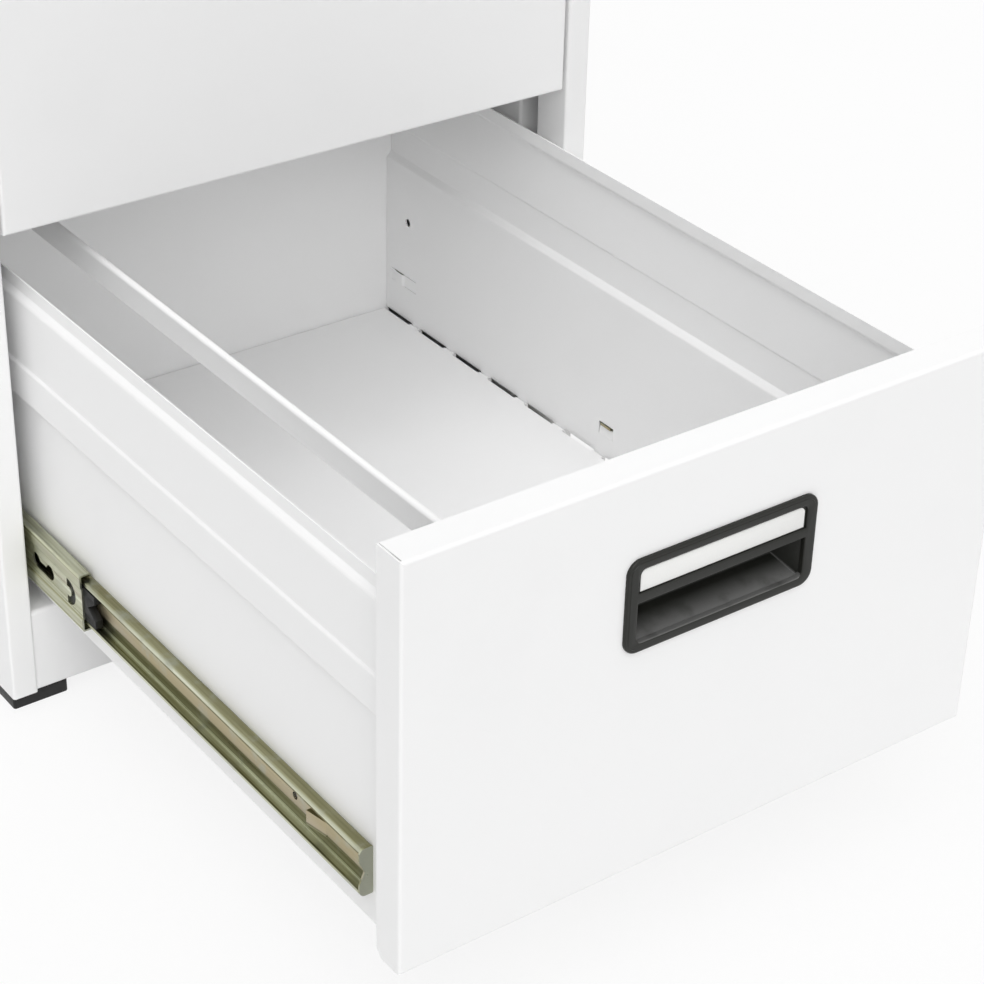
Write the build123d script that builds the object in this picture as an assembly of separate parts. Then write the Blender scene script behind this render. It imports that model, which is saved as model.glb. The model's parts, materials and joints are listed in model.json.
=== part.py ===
from build123d import *
import os

# Two-drawer steel filing cabinet, in millimetres.
# At rest the lower drawer is open and the upper one is closed. The origin is on the floor,
# at the middle of the space that the cabinet and its open drawer take up. The drawers open
# towards -Y, +X is to the right of somebody who faces the cabinet, and +Z is up.

os.makedirs("parts", exist_ok=True)

# How far a cut runs past the faces that it opens, and how long a drill through sheet is
OVERCUT = 1.0
DRILL = 5.0

# Overall sizes of the cabinet
WIDTH = 462.0
DEPTH = 635.0
SHEET = 1.0
BEND = 1.0
FOOT_HEIGHT = 10.0
PLINTH_HEIGHT = 62.0
PLINTH_SETBACK = 2.0
FRONT_HEIGHT = 266.0
REVEAL = 3.0
HEADER_HEIGHT = 29.0
POST_WIDTH = 18.0
POST_RETURN = 33.0
POST_LIP = 8.0
FLANGE = 25.0

# How far the lower drawer stands open at rest, and the share of a drawer's travel that
# the slides' middle members and their balls make
OPEN_AT_REST = 424.0
INTERMEDIATE_SHARE = 0.50
OUTER_CAGE_SHARE = 0.25
INNER_CAGE_SHARE = 0.75

# Drawer front, a pan closed from behind by a liner
FRONT_DEPTH = 22.0
LINER_FLANGE = 10.0
LINER_PLAY = 0.1
CORNER_SLIT = 0.8
CORNER_CUT = 5.0

# Drawer box, with its rim measured down from the top of the front
BACK_CLEAR = 3.4
RIM_DROP = 31.5
RIM_HEIGHT = 8.5
RIM_SLOPE = 3.5
WALL_STEP = 2.5
RIM_JOGGLE = 3.5
WALL_BOTTOM = 3.0
FLOOR_TOP = 21.0
FLOOR_FLANGE = 14.0
BEAD_OUT = 4.0
BEAD_LOW = 150.0
BEAD_LOW_RUN = 4.0
BEAD_HIGH = 176.5
BEAD_HIGH_RUN = 1.8
SHOULDER_BEND = 2.5
BEAD_BEND = 1.2
WALL_FLANGE = 14.0
BACK_HEM = 6.0
SEAT_PLAY = 0.2

# Slots where the floor meets the walls. They run on through the walls.
FLOOR_SLOT = 35.5
FLOOR_SLOT_PITCH = 46.0
FLOOR_SLOT_WIDTH = 3.4
FLOOR_SLOT_DEPTH = 4.5

# Openings pressed into each drawer wall. The hole and the bridge are placed from the
# drawer's back, the hook's slot from the front plane, and all from the drawer's bottom.
WALL_HOLE = (28.6, 104.0)
WALL_HOLE_RADIUS = 3.0
BRIDGE = (23.6, 53.0)
BRIDGE_LENGTH = 33.0
BRIDGE_HEIGHT = 10.0
BRIDGE_STRIP = 9.0
BRIDGE_RAMP = 8.0
BRIDGE_STEP = 2.5
BRIDGE_RISE = 1.6
HOOK_SLOT = (345.0, 42.0)
HOOK_SLOT_LENGTH = 16.0
HOOK_SLOT_HEIGHT = 10.0
HOOK_PLAY = 0.2
TONGUE_HEIGHT = 6.8
TONGUE_LEAN = 1.0
TONGUE_PLAY = 0.5

# Rail that runs from front to back inside a drawer
RAIL_INSET = 56.5
RAIL_WIDTH = 5.0
RAIL_HEIGHT = 17.0
RAIL_SHORT_LEG = 8.0
RAIL_SHEET = 1.2
RAIL_BEND = 0.8
RAIL_TAB = 12.0

# Handle with a finger recess under a label window, from the top of the front down
HANDLE_WIDTH = 134.0
HANDLE_DROP = 51.5
HANDLE_SIDE_BORDER = 9.0
HANDLE_BORDER = 7.0
HANDLE_RECESS = 25.0
HANDLE_BAR = 7.0
HANDLE_WINDOW = 14.0
HANDLE_PROUD = 2.5
HANDLE_CORNER = 9.0
HANDLE_EDGE = 0.9
TUB_WALL = 2.0
TUB_DEPTH = 19.0
TUB_RISE = 9.0
TUB_PLAY = 0.3
BAR_BACK = 1.0
LABEL_DEPTH = 1.5
LABEL_THICKNESS = 0.4
LABEL_PLAY = 0.3
SNAP_WIDTH = 14.0
SNAP_DEPTH = 3.0
SNAP_CATCH = 1.2

# Ball slides, from the front plane to short of the cabinet's back. In a section, a is
# measured outwards from the drawer wall and h up from the slide's centre.
SLIDE_CENTRE = 42.0
SLIDE_FRONT = 42.0
SLIDE_THICKNESS = 12.7
SLIDE_SHEET = 1.2
SLIDE_BEND = 0.4
SLIDE_END = 34.0
RIDGE_HALF = 4.0
RIDGE_RISE = 1.5
RIDGE_SLOPE = 2.0
DRAWER_MEMBER_HALF = 16.5
DRAWER_MEMBER_REACH = 8.0
INTERMEDIATE_HALF = 21.0
INTERMEDIATE_START = 144.0
INTERMEDIATE_OUT = 10.6
INTERMEDIATE_IN = 2.2
WEB_RECESS = 0.8
WEB_RECESS_HALF = 11.0
WEB_RECESS_SLOPE = 1.0
CABINET_MEMBER_HALF = 25.5
CABINET_MEMBER_IN = 3.0
LIP = 3.1
BALL_PLAY = 0.05
CAGE_SHEET = 0.8
CAGE_WIDTH = 4.6
OUTER_CAGE_START = 200.0
OUTER_CAGE_LENGTH = 240.0
OUTER_CAGE_A = 7.2
OUTER_CAGE_BALLS = 6
INNER_CAGE_START = 290.0
INNER_CAGE_LENGTH = 165.0
INNER_CAGE_A = 6.1
INNER_CAGE_BALLS = 5
END_TAB_REACH = 9.0
END_TAB_WAIST = 5.5
STOP_TAB = (84.0, 100.0)
STOP_TAB_RISE = 3.0
MEMBER_HOLE = (116.4, 2.0)
MEMBER_HOLE_RADIUS = 2.5
HOOK_WIDTH = 11.0
HOOK_HEIGHT = 2.2
KEY_SLOT = (38.0, 67.0)
KEY_SLOT_RADIUS = 5.2
KEY_SLOT_NECK = 3.6
CLAW = 18.0
CLAW_RADII = (3.6, 9.2)
PILOT_HOLE = 81.0
PILOT_HOLE_RADIUS = 2.0
BUMPER_FRONT = 14.0
BUMPER_BACK = 22.0
BUMPER_HALF = 12.2
BUMPER_CLEAR = 0.4
BUMPER_NOTCH = 9.0

# Uprights that carry the slides inside the cabinet
UPRIGHT_SHEET = 1.2
UPRIGHT_FACE = 36.0
UPRIGHT_FOOT = 12.0
UPRIGHT_STAND_OFF = 17.8
FRONT_UPRIGHT = 52.0
REAR_UPRIGHT = 59.0

# Rivets
RIVET_RADIUS = 2.0
RIVET_HEAD_RADIUS = 4.0
RIVET_HEAD = 1.2
RIVET_FLUSH = 0.5
RIVET_HOLE_PLAY = 0.05
BACK_RIVETS = 5
BACK_RIVET_INSET = 10.0

# Feet
FOOT_SIZE = 40.0
FOOT_INSET = 1.0
FOOT_SETBACK = 3.0
FOOT_EDGE = 2.0
FOOT_PEG_RADIUS = 4.0
FOOT_PEG_HEIGHT = 4.0
FOOT_PEG_PLAY = 0.1

# Places that follow from the sizes above
HALF = WIDTH / 2
FRONT_Y = (OPEN_AT_REST + HANDLE_PROUD - DEPTH - RIVET_HEAD) / 2
OPENING_HALF = HALF - POST_WIDTH
FRONT_HALF = OPENING_HALF - REVEAL
UPRIGHT_HALF = HALF - SHEET - UPRIGHT_STAND_OFF
UPRIGHT_STARTS = (FRONT_UPRIGHT, DEPTH - REAR_UPRIGHT - UPRIGHT_FACE)
SLIDE_LENGTH = DEPTH - SLIDE_END - SLIDE_FRONT
INTERMEDIATE_LENGTH = SLIDE_FRONT + SLIDE_LENGTH - INTERMEDIATE_START
DRAWER_HALF = UPRIGHT_HALF - SLIDE_THICKNESS
DECK_TOP = FOOT_HEIGHT + PLINTH_HEIGHT
PITCH = FRONT_HEIGHT + REVEAL
DRAWER_LEVELS = {"lower": DECK_TOP + REVEAL, "upper": DECK_TOP + REVEAL + PITCH}
DRAWER_SHIFTS = {"lower": OPEN_AT_REST, "upper": 0.0}
HEADER_LOW = DECK_TOP + REVEAL + 2 * PITCH
BODY_TOP = HEADER_LOW + HEADER_HEIGHT
BACK_FACE = DEPTH - 3 * SHEET - BACK_CLEAR - BACK_HEM
WALL_INNER = DRAWER_HALF - SHEET
WALL_TOP = FRONT_HEIGHT - RIM_DROP
RIM_LOW = WALL_TOP - RIM_HEIGHT
SHOULDER = RIM_LOW - RIM_SLOPE
RAIL_X = RAIL_INSET - DRAWER_HALF
FLOOR_SLOT_COUNT = int((BACK_FACE - FRONT_DEPTH - FLOOR_SLOT) / FLOOR_SLOT_PITCH)
HANDLE_HIGH = FRONT_HEIGHT - HANDLE_DROP
WINDOW_HIGH = HANDLE_HIGH - HANDLE_BORDER
WINDOW_LOW = WINDOW_HIGH - HANDLE_WINDOW
BAR_LOW = WINDOW_LOW - HANDLE_BAR
RECESS_LOW = BAR_LOW - HANDLE_RECESS
HANDLE_LOW = RECESS_LOW - HANDLE_BORDER
WINDOW_HALF = HANDLE_WIDTH / 2 - HANDLE_SIDE_BORDER


def block(x, y, z):
    """A box from three pairs of limits."""
    size = [high - low for low, high in (x, y, z)]
    middle = [(high + low) / 2 for low, high in (x, y, z)]
    return Pos(*middle) * Box(*size)


def behind(distance):
    """The Y of a plane that lies this far behind the closed drawer fronts."""
    return FRONT_Y + distance


def along_x(profile, low, high):
    """Extrude a profile drawn in Y and Z."""
    return extrude(Plane.YZ.offset(low) * profile, amount=high - low)


def along_y(profile, low, high):
    """Extrude a profile drawn in X and Z."""
    return extrude(Plane.XZ.offset(-high) * profile, amount=high - low)


def along_z(profile, low, high):
    """Extrude a profile drawn in X and Y."""
    return extrude(Plane.XY.offset(low) * profile, amount=high - low)


def bent_sheet(path, sheet=SHEET, bend=BEND, bends=None):
    """The section of a bent sheet that lies to the left of the path of one of its faces."""
    points = [Vector(*point) for point in path]
    runs = [(b - a).normalized() for a, b in zip(points, points[1:])]
    lefts = [Vector(-run.Y, run.X) for run in runs]
    bends = bends or [bend] * (len(points) - 2)
    near = [0.0]
    far = [0.0]
    offset = [points[0] + lefts[0] * sheet]
    for index, point in enumerate(points[1:-1]):
        before, after = lefts[index], lefts[index + 1]
        offset.append(point + (before + after) * (sheet / (1 + before.dot(after))))
        turns_left = runs[index].cross(runs[index + 1]).Z > 0
        near.append(bends[index] + (sheet if turns_left else 0.0))
        far.append(bends[index] + (0.0 if turns_left else sheet))
    offset.append(points[-1] + lefts[-1] * sheet)
    near.append(0.0)
    far.append(0.0)
    outline = points + offset[::-1]
    return make_face(FilletPolyline(*outline, radius=near + far[::-1], close=True))


def folded_pan(x, y, z, open_side, bend=BEND):
    """A shallow pan of folded sheet, open on one side, with its folds round the far face."""
    limits = {Axis.X: x, Axis.Y: y, Axis.Z: z}
    inner = {}
    for axis, (low, high) in limits.items():
        inner[axis] = (low + SHEET, high - SHEET)
    axis, at_high_end = open_side
    low, high = limits[axis]
    inner[axis] = (low + SHEET, high + SHEET) if at_high_end else (low - SHEET, high - SHEET)
    face_index = 0 if at_high_end else -1
    outside = block(x, y, z)
    outside = fillet(outside.faces().sort_by(axis)[face_index].edges(), bend + SHEET)
    inside = block(*inner.values())
    inside = fillet(inside.faces().sort_by(axis)[face_index].edges(), bend)
    return outside - inside


def left_and_right(shape):
    """The same shape on the left, where it is mirrored, and on the right, as drawn."""
    return {"left": mirror(shape, about=Plane.YZ), "right": shape}


def rivet(head_at, shank_end, flush_head=0.0):
    """A rivet along +Z, with a domed head at one end and a flat head at the other."""
    head = Pos(0, 0, head_at) * Cylinder(
        RIVET_HEAD_RADIUS, RIVET_HEAD, align=(Align.CENTER, Align.CENTER, Align.MIN)
    )
    head = fillet(head.faces().sort_by(Axis.Z)[-1].edges(), RIVET_HEAD / 2)
    shank = Pos(0, 0, shank_end) * Cylinder(
        RIVET_RADIUS, head_at - shank_end, align=(Align.CENTER, Align.CENTER, Align.MIN)
    )
    if flush_head == 0.0:
        return head + shank
    flat = Pos(0, 0, shank_end - flush_head) * Cylinder(
        RIVET_HEAD_RADIUS, flush_head, align=(Align.CENTER, Align.CENTER, Align.MIN)
    )
    return head + shank + flat


def side_panel():
    """The right side: one sheet folded into post, skin and rear flange."""
    path = [
        (OPENING_HALF + POST_LIP, behind(POST_RETURN)),
        (OPENING_HALF, behind(POST_RETURN)),
        (OPENING_HALF, behind(0)),
        (HALF, behind(0)),
        (HALF, behind(DEPTH)),
        (HALF - FLANGE, behind(DEPTH)),
    ]
    panel = along_z(bent_sheet(path), FOOT_HEIGHT, BODY_TOP)
    flange_x = (HALF - FLANGE, HALF - SHEET)
    flange_y = (behind(POST_RETURN + REVEAL), behind(DEPTH - 2 * SHEET))
    panel += block(flange_x, flange_y, (BODY_TOP - SHEET, BODY_TOP))
    panel += block(flange_x, flange_y, (FOOT_HEIGHT, FOOT_HEIGHT + SHEET))
    peg = Cylinder(FOOT_PEG_RADIUS + FOOT_PEG_PLAY, FOOT_PEG_HEIGHT)
    panel -= Pos(*foot_peg(1, "rear"), FOOT_HEIGHT) * peg
    for height in back_rivet_heights():
        panel -= Pos(HALF - BACK_RIVET_INSET, behind(DEPTH), height) * rivet_hole(Axis.Y)
    return panel


def foot_peg(side, end):
    """Where a foot's peg stands: in the plinth at the front, in the side flange at the rear."""
    if end == "front":
        return side * (OPENING_HALF - POST_LIP - 2 * REVEAL), behind(FOOT_SETBACK + FOOT_SIZE / 2)
    return side * (HALF - FLANGE / 2), behind(DEPTH - FOOT_SETBACK - FOOT_SIZE / 2)


def foot(side, end):
    """A plastic foot with a peg that presses into the sheet above it."""
    outer = side * (HALF - FOOT_INSET)
    inner = side * (HALF - FOOT_INSET - FOOT_SIZE)
    start = FOOT_SETBACK if end == "front" else DEPTH - FOOT_SETBACK - FOOT_SIZE
    pad = block(
        (min(outer, inner), max(outer, inner)),
        (behind(start), behind(start + FOOT_SIZE)),
        (0.0, FOOT_HEIGHT),
    )
    pad = fillet(pad.edges().filter_by(Axis.Z), FOOT_EDGE)
    pad = fillet(pad.faces().sort_by(Axis.Z)[0].edges(), FOOT_EDGE / 2)
    peg = Cylinder(
        FOOT_PEG_RADIUS, FOOT_PEG_HEIGHT, align=(Align.CENTER, Align.CENTER, Align.MIN)
    )
    return pad + Pos(*foot_peg(side, end), FOOT_HEIGHT) * peg


def rivet_hole(axis):
    """A hole for a rivet's shank through nearby sheets."""
    hole = Cylinder(RIVET_RADIUS + RIVET_HOLE_PLAY, DRILL)
    return Rot(90, 0, 0) * hole if axis == Axis.Y else Rot(0, 90, 0) * hole


def back_rivet_heights():
    """Heights of the rivets down each edge of the back panel."""
    step = (BODY_TOP - FOOT_HEIGHT) / BACK_RIVETS
    return [FOOT_HEIGHT + step * (index + 0.5) for index in range(BACK_RIVETS)]


def base_pan():
    """Deck under the drawers, folded down into the plinth and back under itself."""
    path = [
        (behind(DEPTH - 2 * SHEET), DECK_TOP - FLANGE),
        (behind(DEPTH - 2 * SHEET), DECK_TOP),
        (behind(PLINTH_SETBACK), DECK_TOP),
        (behind(PLINTH_SETBACK), FOOT_HEIGHT),
        (behind(POST_RETURN), FOOT_HEIGHT),
        (behind(POST_RETURN), FOOT_HEIGHT + POST_LIP),
    ]
    pan = along_x(bent_sheet(path, bends=[BEND, 2 * BEND, BEND, BEND]), -OPENING_HALF, OPENING_HALF)
    wing_y = (behind(POST_RETURN + REVEAL), behind(DEPTH - 2 * SHEET - 2 * BEND))
    pan += block((-HALF + SHEET, HALF - SHEET), wing_y, (DECK_TOP - SHEET, DECK_TOP))
    peg = Cylinder(FOOT_PEG_RADIUS + FOOT_PEG_PLAY, FOOT_PEG_HEIGHT)
    for side in (-1, 1):
        pan -= Pos(*foot_peg(side, "front"), FOOT_HEIGHT) * peg
    return pan


def header_rail():
    """Rail over the upper drawer, a channel that is open to the inside."""
    path = [
        (behind(FLANGE), BODY_TOP),
        (behind(0), BODY_TOP),
        (behind(0), HEADER_LOW),
        (behind(POST_RETURN), HEADER_LOW),
        (behind(POST_RETURN), HEADER_LOW + POST_LIP),
    ]
    return along_x(bent_sheet(path), -OPENING_HALF, OPENING_HALF)


def top_panel():
    """Flat top that laps the side panels' flanges, with the posts' corner radius."""
    panel = block((-HALF, HALF), (behind(0), behind(DEPTH)), (BODY_TOP, BODY_TOP + SHEET))
    return fillet(panel.edges().filter_by(Axis.Z), BEND + SHEET)


def top_stiffener():
    """Hat section that runs across under the top."""
    middle = behind(DEPTH / 2)
    low = BODY_TOP - SHEET - POST_LIP
    path = [
        (middle + 2 * FLANGE, BODY_TOP),
        (middle + FLANGE, BODY_TOP),
        (middle + FLANGE, low),
        (middle - FLANGE, low),
        (middle - FLANGE, BODY_TOP),
        (middle - 2 * FLANGE, BODY_TOP),
    ]
    return along_x(bent_sheet(path), -HALF + FLANGE, HALF - FLANGE)


def back_panel():
    """Flat back that lies against the side panels' rear flanges."""
    y = (behind(DEPTH - 2 * SHEET), behind(DEPTH - SHEET))
    x = (-HALF + SHEET + BEND, HALF - SHEET - BEND)
    panel = block(x, y, (FOOT_HEIGHT + 2 * SHEET, BODY_TOP - 2 * SHEET))
    for side in (-1, 1):
        for height in back_rivet_heights():
            place = Pos(side * (HALF - BACK_RIVET_INSET), behind(DEPTH), height)
            panel -= place * rivet_hole(Axis.Y)
    return panel


def back_rivets():
    """Rivets that hold the back panel, with their heads outside."""
    rivets = []
    for side in (-1, 1):
        for height in back_rivet_heights():
            place = Pos(side * (HALF - BACK_RIVET_INSET), behind(DEPTH), height)
            rivets.append(place * Rot(-90, 0, 0) * rivet(0.0, -2 * SHEET, RIVET_FLUSH))
    return Compound(children=rivets)


def upright(start):
    """A right-hand hat section that stands off the skin and carries the slides."""
    end = start + UPRIGHT_FACE
    skin = HALF - SHEET
    face = UPRIGHT_HALF + UPRIGHT_SHEET
    path = [
        (skin, behind(start - UPRIGHT_FOOT)),
        (skin, behind(start)),
        (face, behind(start)),
        (face, behind(end)),
        (skin, behind(end)),
        (skin, behind(end + UPRIGHT_FOOT)),
    ]
    section = bent_sheet(path, sheet=UPRIGHT_SHEET)
    post = along_z(section, DECK_TOP, BODY_TOP - SHEET)
    for level in DRAWER_LEVELS.values():
        place = Pos(face, behind(start + UPRIGHT_FACE / 2), level + SLIDE_CENTRE)
        post -= place * rivet_hole(Axis.X)
    return post


def slide_rivets():
    """Rivets that hold the cabinet members to the uprights."""
    rivets = []
    inside = -(SLIDE_SHEET + UPRIGHT_SHEET)
    for level in DRAWER_LEVELS.values():
        for start in UPRIGHT_STARTS:
            y = behind(start + UPRIGHT_FACE / 2)
            place = Pos(UPRIGHT_HALF + UPRIGHT_SHEET, y, level + SLIDE_CENTRE)
            one = place * Rot(0, 90, 0) * rivet(0.0, inside, RIVET_FLUSH)
            rivets.extend(left_and_right(one).values())
    return Compound(children=rivets)


def slide_section(path, bends=None):
    """A slide member's section, from points in a and h on the right of the drawer."""
    return bent_sheet([(DRAWER_HALF + a, h) for a, h in path], SLIDE_SHEET, SLIDE_BEND, bends)


def slide_hole(radius, y, h, a):
    """A round hole across a slide member's web."""
    place = Pos(DRAWER_HALF + a, behind(y), h)
    return place * Rot(0, 90, 0) * Cylinder(radius, DRILL)


def drawer_member():
    """Inner channel of a slide, with a ridge down its web and a folded end."""
    half, reach = DRAWER_MEMBER_HALF, DRAWER_MEMBER_REACH
    ridge = RIDGE_HALF + RIDGE_SLOPE
    section = slide_section([
        (reach, half - LIP),
        (reach, half),
        (0.0, half),
        (0.0, ridge),
        (RIDGE_RISE, RIDGE_HALF),
        (RIDGE_RISE, -RIDGE_HALF),
        (0.0, -ridge),
        (0.0, -half),
        (reach, -half),
        (reach, -half + LIP),
    ])
    member = along_y(section, behind(SLIDE_FRONT), behind(SLIDE_FRONT + SLIDE_LENGTH))
    member += end_tab()
    member += stop_tab()
    member -= slide_hole(MEMBER_HOLE_RADIUS, *MEMBER_HOLE, RIDGE_RISE)
    hook_y = behind(HOOK_SLOT[0])
    hook_top = HOOK_SLOT[1] + HOOK_SLOT_HEIGHT / 2 - HOOK_PLAY - SLIDE_CENTRE
    member += block(
        (WALL_INNER - SLIDE_SHEET / 2, DRAWER_HALF + RIDGE_RISE + SLIDE_SHEET / 2),
        (hook_y - HOOK_WIDTH / 2, hook_y + HOOK_WIDTH / 2),
        (hook_top - HOOK_HEIGHT, hook_top),
    )
    return member


def end_tab():
    """The drawer member's front end, folded out into a waisted plate."""
    half = DRAWER_MEMBER_HALF
    lobe = half / 2
    outline = [
        (0.0, half),
        (END_TAB_REACH, half),
        (END_TAB_REACH, lobe),
        (END_TAB_WAIST, 0.0),
        (END_TAB_REACH, -lobe),
        (END_TAB_REACH, -half),
        (0.0, -half),
    ]
    points = [(DRAWER_HALF + a, h) for a, h in outline]
    radii = [BEND, 4 * BEND, 2 * BEND, 2 * BEND, 2 * BEND, 4 * BEND, BEND]
    plate = make_face(FilletPolyline(*points, radius=radii, close=True))
    return along_y(plate, behind(SLIDE_FRONT - SLIDE_SHEET), behind(SLIDE_FRONT))


def stop_tab():
    """A tab pressed out of the drawer member's web."""
    start, end = STOP_TAB
    low = DRAWER_HALF + RIDGE_RISE
    high = low + SLIDE_SHEET + STOP_TAB_RISE
    outline = [
        (low, behind(start)),
        (low, behind(end)),
        (high, behind(end)),
        (low + SLIDE_SHEET, behind(start)),
    ]
    wedge = make_face(Polyline(*outline, close=True))
    return along_z(wedge, -RIDGE_HALF - RIDGE_SLOPE, RIDGE_HALF)


def intermediate_member():
    """Middle channel of a slide, which wraps the drawer member."""
    half, out, inn = INTERMEDIATE_HALF, INTERMEDIATE_OUT, INTERMEDIATE_IN
    recess = WEB_RECESS_HALF + WEB_RECESS_SLOPE
    deep = out - WEB_RECESS
    section = slide_section([
        (inn, -half + LIP),
        (inn, -half),
        (out, -half),
        (out, -recess),
        (deep, -WEB_RECESS_HALF),
        (deep, WEB_RECESS_HALF),
        (out, recess),
        (out, half),
        (inn, half),
        (inn, half - LIP),
    ])
    start = INTERMEDIATE_START
    member = along_y(section, behind(start), behind(start + INTERMEDIATE_LENGTH))
    member -= slide_hole(PILOT_HOLE_RADIUS, start + PILOT_HOLE, 0.0, out)
    member -= key_slot(start, out)
    member -= claw_slot(start, out)
    return member


def key_slot(start, a):
    """A long opening with two round ends and a narrower neck between them."""
    low, high = (start + distance for distance in KEY_SLOT)
    ends = [low + KEY_SLOT_RADIUS, high - KEY_SLOT_RADIUS]
    opening = block(
        (DRAWER_HALF + a - 2 * SLIDE_SHEET, DRAWER_HALF + a + SLIDE_SHEET),
        (behind(ends[0]), behind(ends[1])),
        (-KEY_SLOT_RADIUS, KEY_SLOT_RADIUS - KEY_SLOT_NECK),
    )
    for y in ends:
        opening += slide_hole(KEY_SLOT_RADIUS, y, 0.0, a)
    return opening


def claw_slot(start, a):
    """A hooked opening, a little more than half a ring."""
    inner, outer = CLAW_RADII
    place = Pos(DRAWER_HALF + a, behind(start + CLAW), 0.0) * Rot(0, 90, 0)
    ring = Cylinder(outer, DRILL) - Cylinder(inner, DRILL)
    keep = Pos(0, -outer, 0) * Box(3 * outer, 2 * outer + inner, 2 * DRILL)
    return place * (ring & keep)


def cabinet_member():
    """Outer channel of a slide, fixed to the uprights."""
    half, inn = CABINET_MEMBER_HALF, CABINET_MEMBER_IN
    section = slide_section([
        (inn, -half + LIP),
        (inn, -half),
        (SLIDE_THICKNESS, -half),
        (SLIDE_THICKNESS, half),
        (inn, half),
        (inn, half - LIP),
    ])
    member = along_y(section, behind(SLIDE_FRONT), behind(SLIDE_FRONT + SLIDE_LENGTH))
    for start in UPRIGHT_STARTS:
        member -= slide_hole(
            RIVET_RADIUS + RIVET_HOLE_PLAY, start + UPRIGHT_FACE / 2, 0.0, SLIDE_THICKNESS
        )
    return member


def bumper():
    """Plastic block inside the front end of the intermediate member."""
    a = (RIDGE_RISE + SLIDE_SHEET + BUMPER_CLEAR, INTERMEDIATE_OUT - WEB_RECESS - SLIDE_SHEET)
    front = INTERMEDIATE_START - BUMPER_FRONT
    low, high = (DRAWER_HALF + value for value in a)
    y = (behind(front), behind(INTERMEDIATE_START + BUMPER_BACK))
    body = block((low, high), y, (-BUMPER_HALF, BUMPER_HALF))
    notch = [
        (behind(front - OVERCUT), BUMPER_HALF / 2),
        (behind(front + BUMPER_NOTCH), 0.0),
        (behind(front - OVERCUT), -BUMPER_HALF / 2),
    ]
    wedge = make_face(Polyline(*notch, close=True))
    return body - along_x(wedge, low - OVERCUT, high + OVERCUT)


def ball_cage(race_low, race_high, a, start, length, count):
    """Two strips of balls, above and below, between the flanges of two channels."""
    radius = (race_high - race_low) / 2 - BALL_PLAY
    middle = (race_high + race_low) / 2
    pitch = length / count
    solids = []
    for side in (-1, 1):
        strip = block(
            (DRAWER_HALF + a - CAGE_WIDTH / 2, DRAWER_HALF + a + CAGE_WIDTH / 2),
            (behind(start), behind(start + length)),
            (side * middle - CAGE_SHEET / 2, side * middle + CAGE_SHEET / 2),
        )
        for index in range(count):
            place = Pos(DRAWER_HALF + a, behind(start + pitch * (index + 0.5)), side * middle)
            strip -= place * Cylinder(radius + BALL_PLAY, DRILL)
            solids.append(place * Sphere(radius))
        solids.append(strip)
    return Compound(children=solids)


def outer_cage():
    """Balls between the cabinet member and the intermediate member."""
    race_high = CABINET_MEMBER_HALF - SLIDE_SHEET
    place = (OUTER_CAGE_A, OUTER_CAGE_START, OUTER_CAGE_LENGTH, OUTER_CAGE_BALLS)
    return ball_cage(INTERMEDIATE_HALF, race_high, *place)


def inner_cage():
    """Balls between the intermediate member and the drawer member."""
    race_high = INTERMEDIATE_HALF - SLIDE_SHEET
    place = (INNER_CAGE_A, INNER_CAGE_START, INNER_CAGE_LENGTH, INNER_CAGE_BALLS)
    return ball_cage(DRAWER_MEMBER_HALF, race_high, *place)


def corner_wedges(grow):
    """Wedges that take the lower rear corners off a drawer front."""
    outline = [
        (behind(FRONT_DEPTH + OVERCUT), -OVERCUT),
        (behind(FRONT_DEPTH + OVERCUT), CORNER_CUT + grow + OVERCUT),
        (behind(FRONT_DEPTH - CORNER_CUT - grow - OVERCUT), -OVERCUT),
    ]
    wedge = along_x(make_face(Polyline(*outline, close=True)), DRAWER_HALF, HALF)
    return wedge + mirror(wedge, about=Plane.YZ)


def drawer_front():
    """The outer front, a pan with slit corners and a cut-out for the handle."""
    x = (-FRONT_HALF, FRONT_HALF)
    pan = folded_pan(x, (behind(0), behind(FRONT_DEPTH)), (0.0, FRONT_HEIGHT), (Axis.Y, True))
    slit_y = (behind(BEND + SHEET), behind(FRONT_DEPTH + OVERCUT))
    slit_z = (FRONT_HEIGHT - 2 * SHEET, FRONT_HEIGHT + OVERCUT)
    for side in (-1, 1):
        edges = sorted((side * (FRONT_HALF - SHEET), side * (FRONT_HALF - SHEET - CORNER_SLIT)))
        pan -= block(edges, slit_y, slit_z)
    pan -= corner_wedges(0.0)
    return pan - tub_outline(TUB_PLAY, (behind(-OVERCUT), behind(SHEET + OVERCUT)))


def tub_outline(grow, y):
    """The block that the handle's tub fills behind the front's face."""
    half = WINDOW_HALF + TUB_WALL + grow
    z = (RECESS_LOW - TUB_WALL - grow, WINDOW_HIGH + TUB_WALL + grow)
    return block((-half, half), y, z)


def front_liner():
    """The inner front, a shallow pan that closes the outer one from behind."""
    half = FRONT_HALF - SHEET - LINER_PLAY
    low = SHEET + LINER_PLAY
    y = (behind(FRONT_DEPTH - LINER_FLANGE), behind(FRONT_DEPTH))
    pan = folded_pan((-half, half), y, (low, FRONT_HEIGHT - low), (Axis.Y, False))
    return pan - corner_wedges(SHEET)


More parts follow.
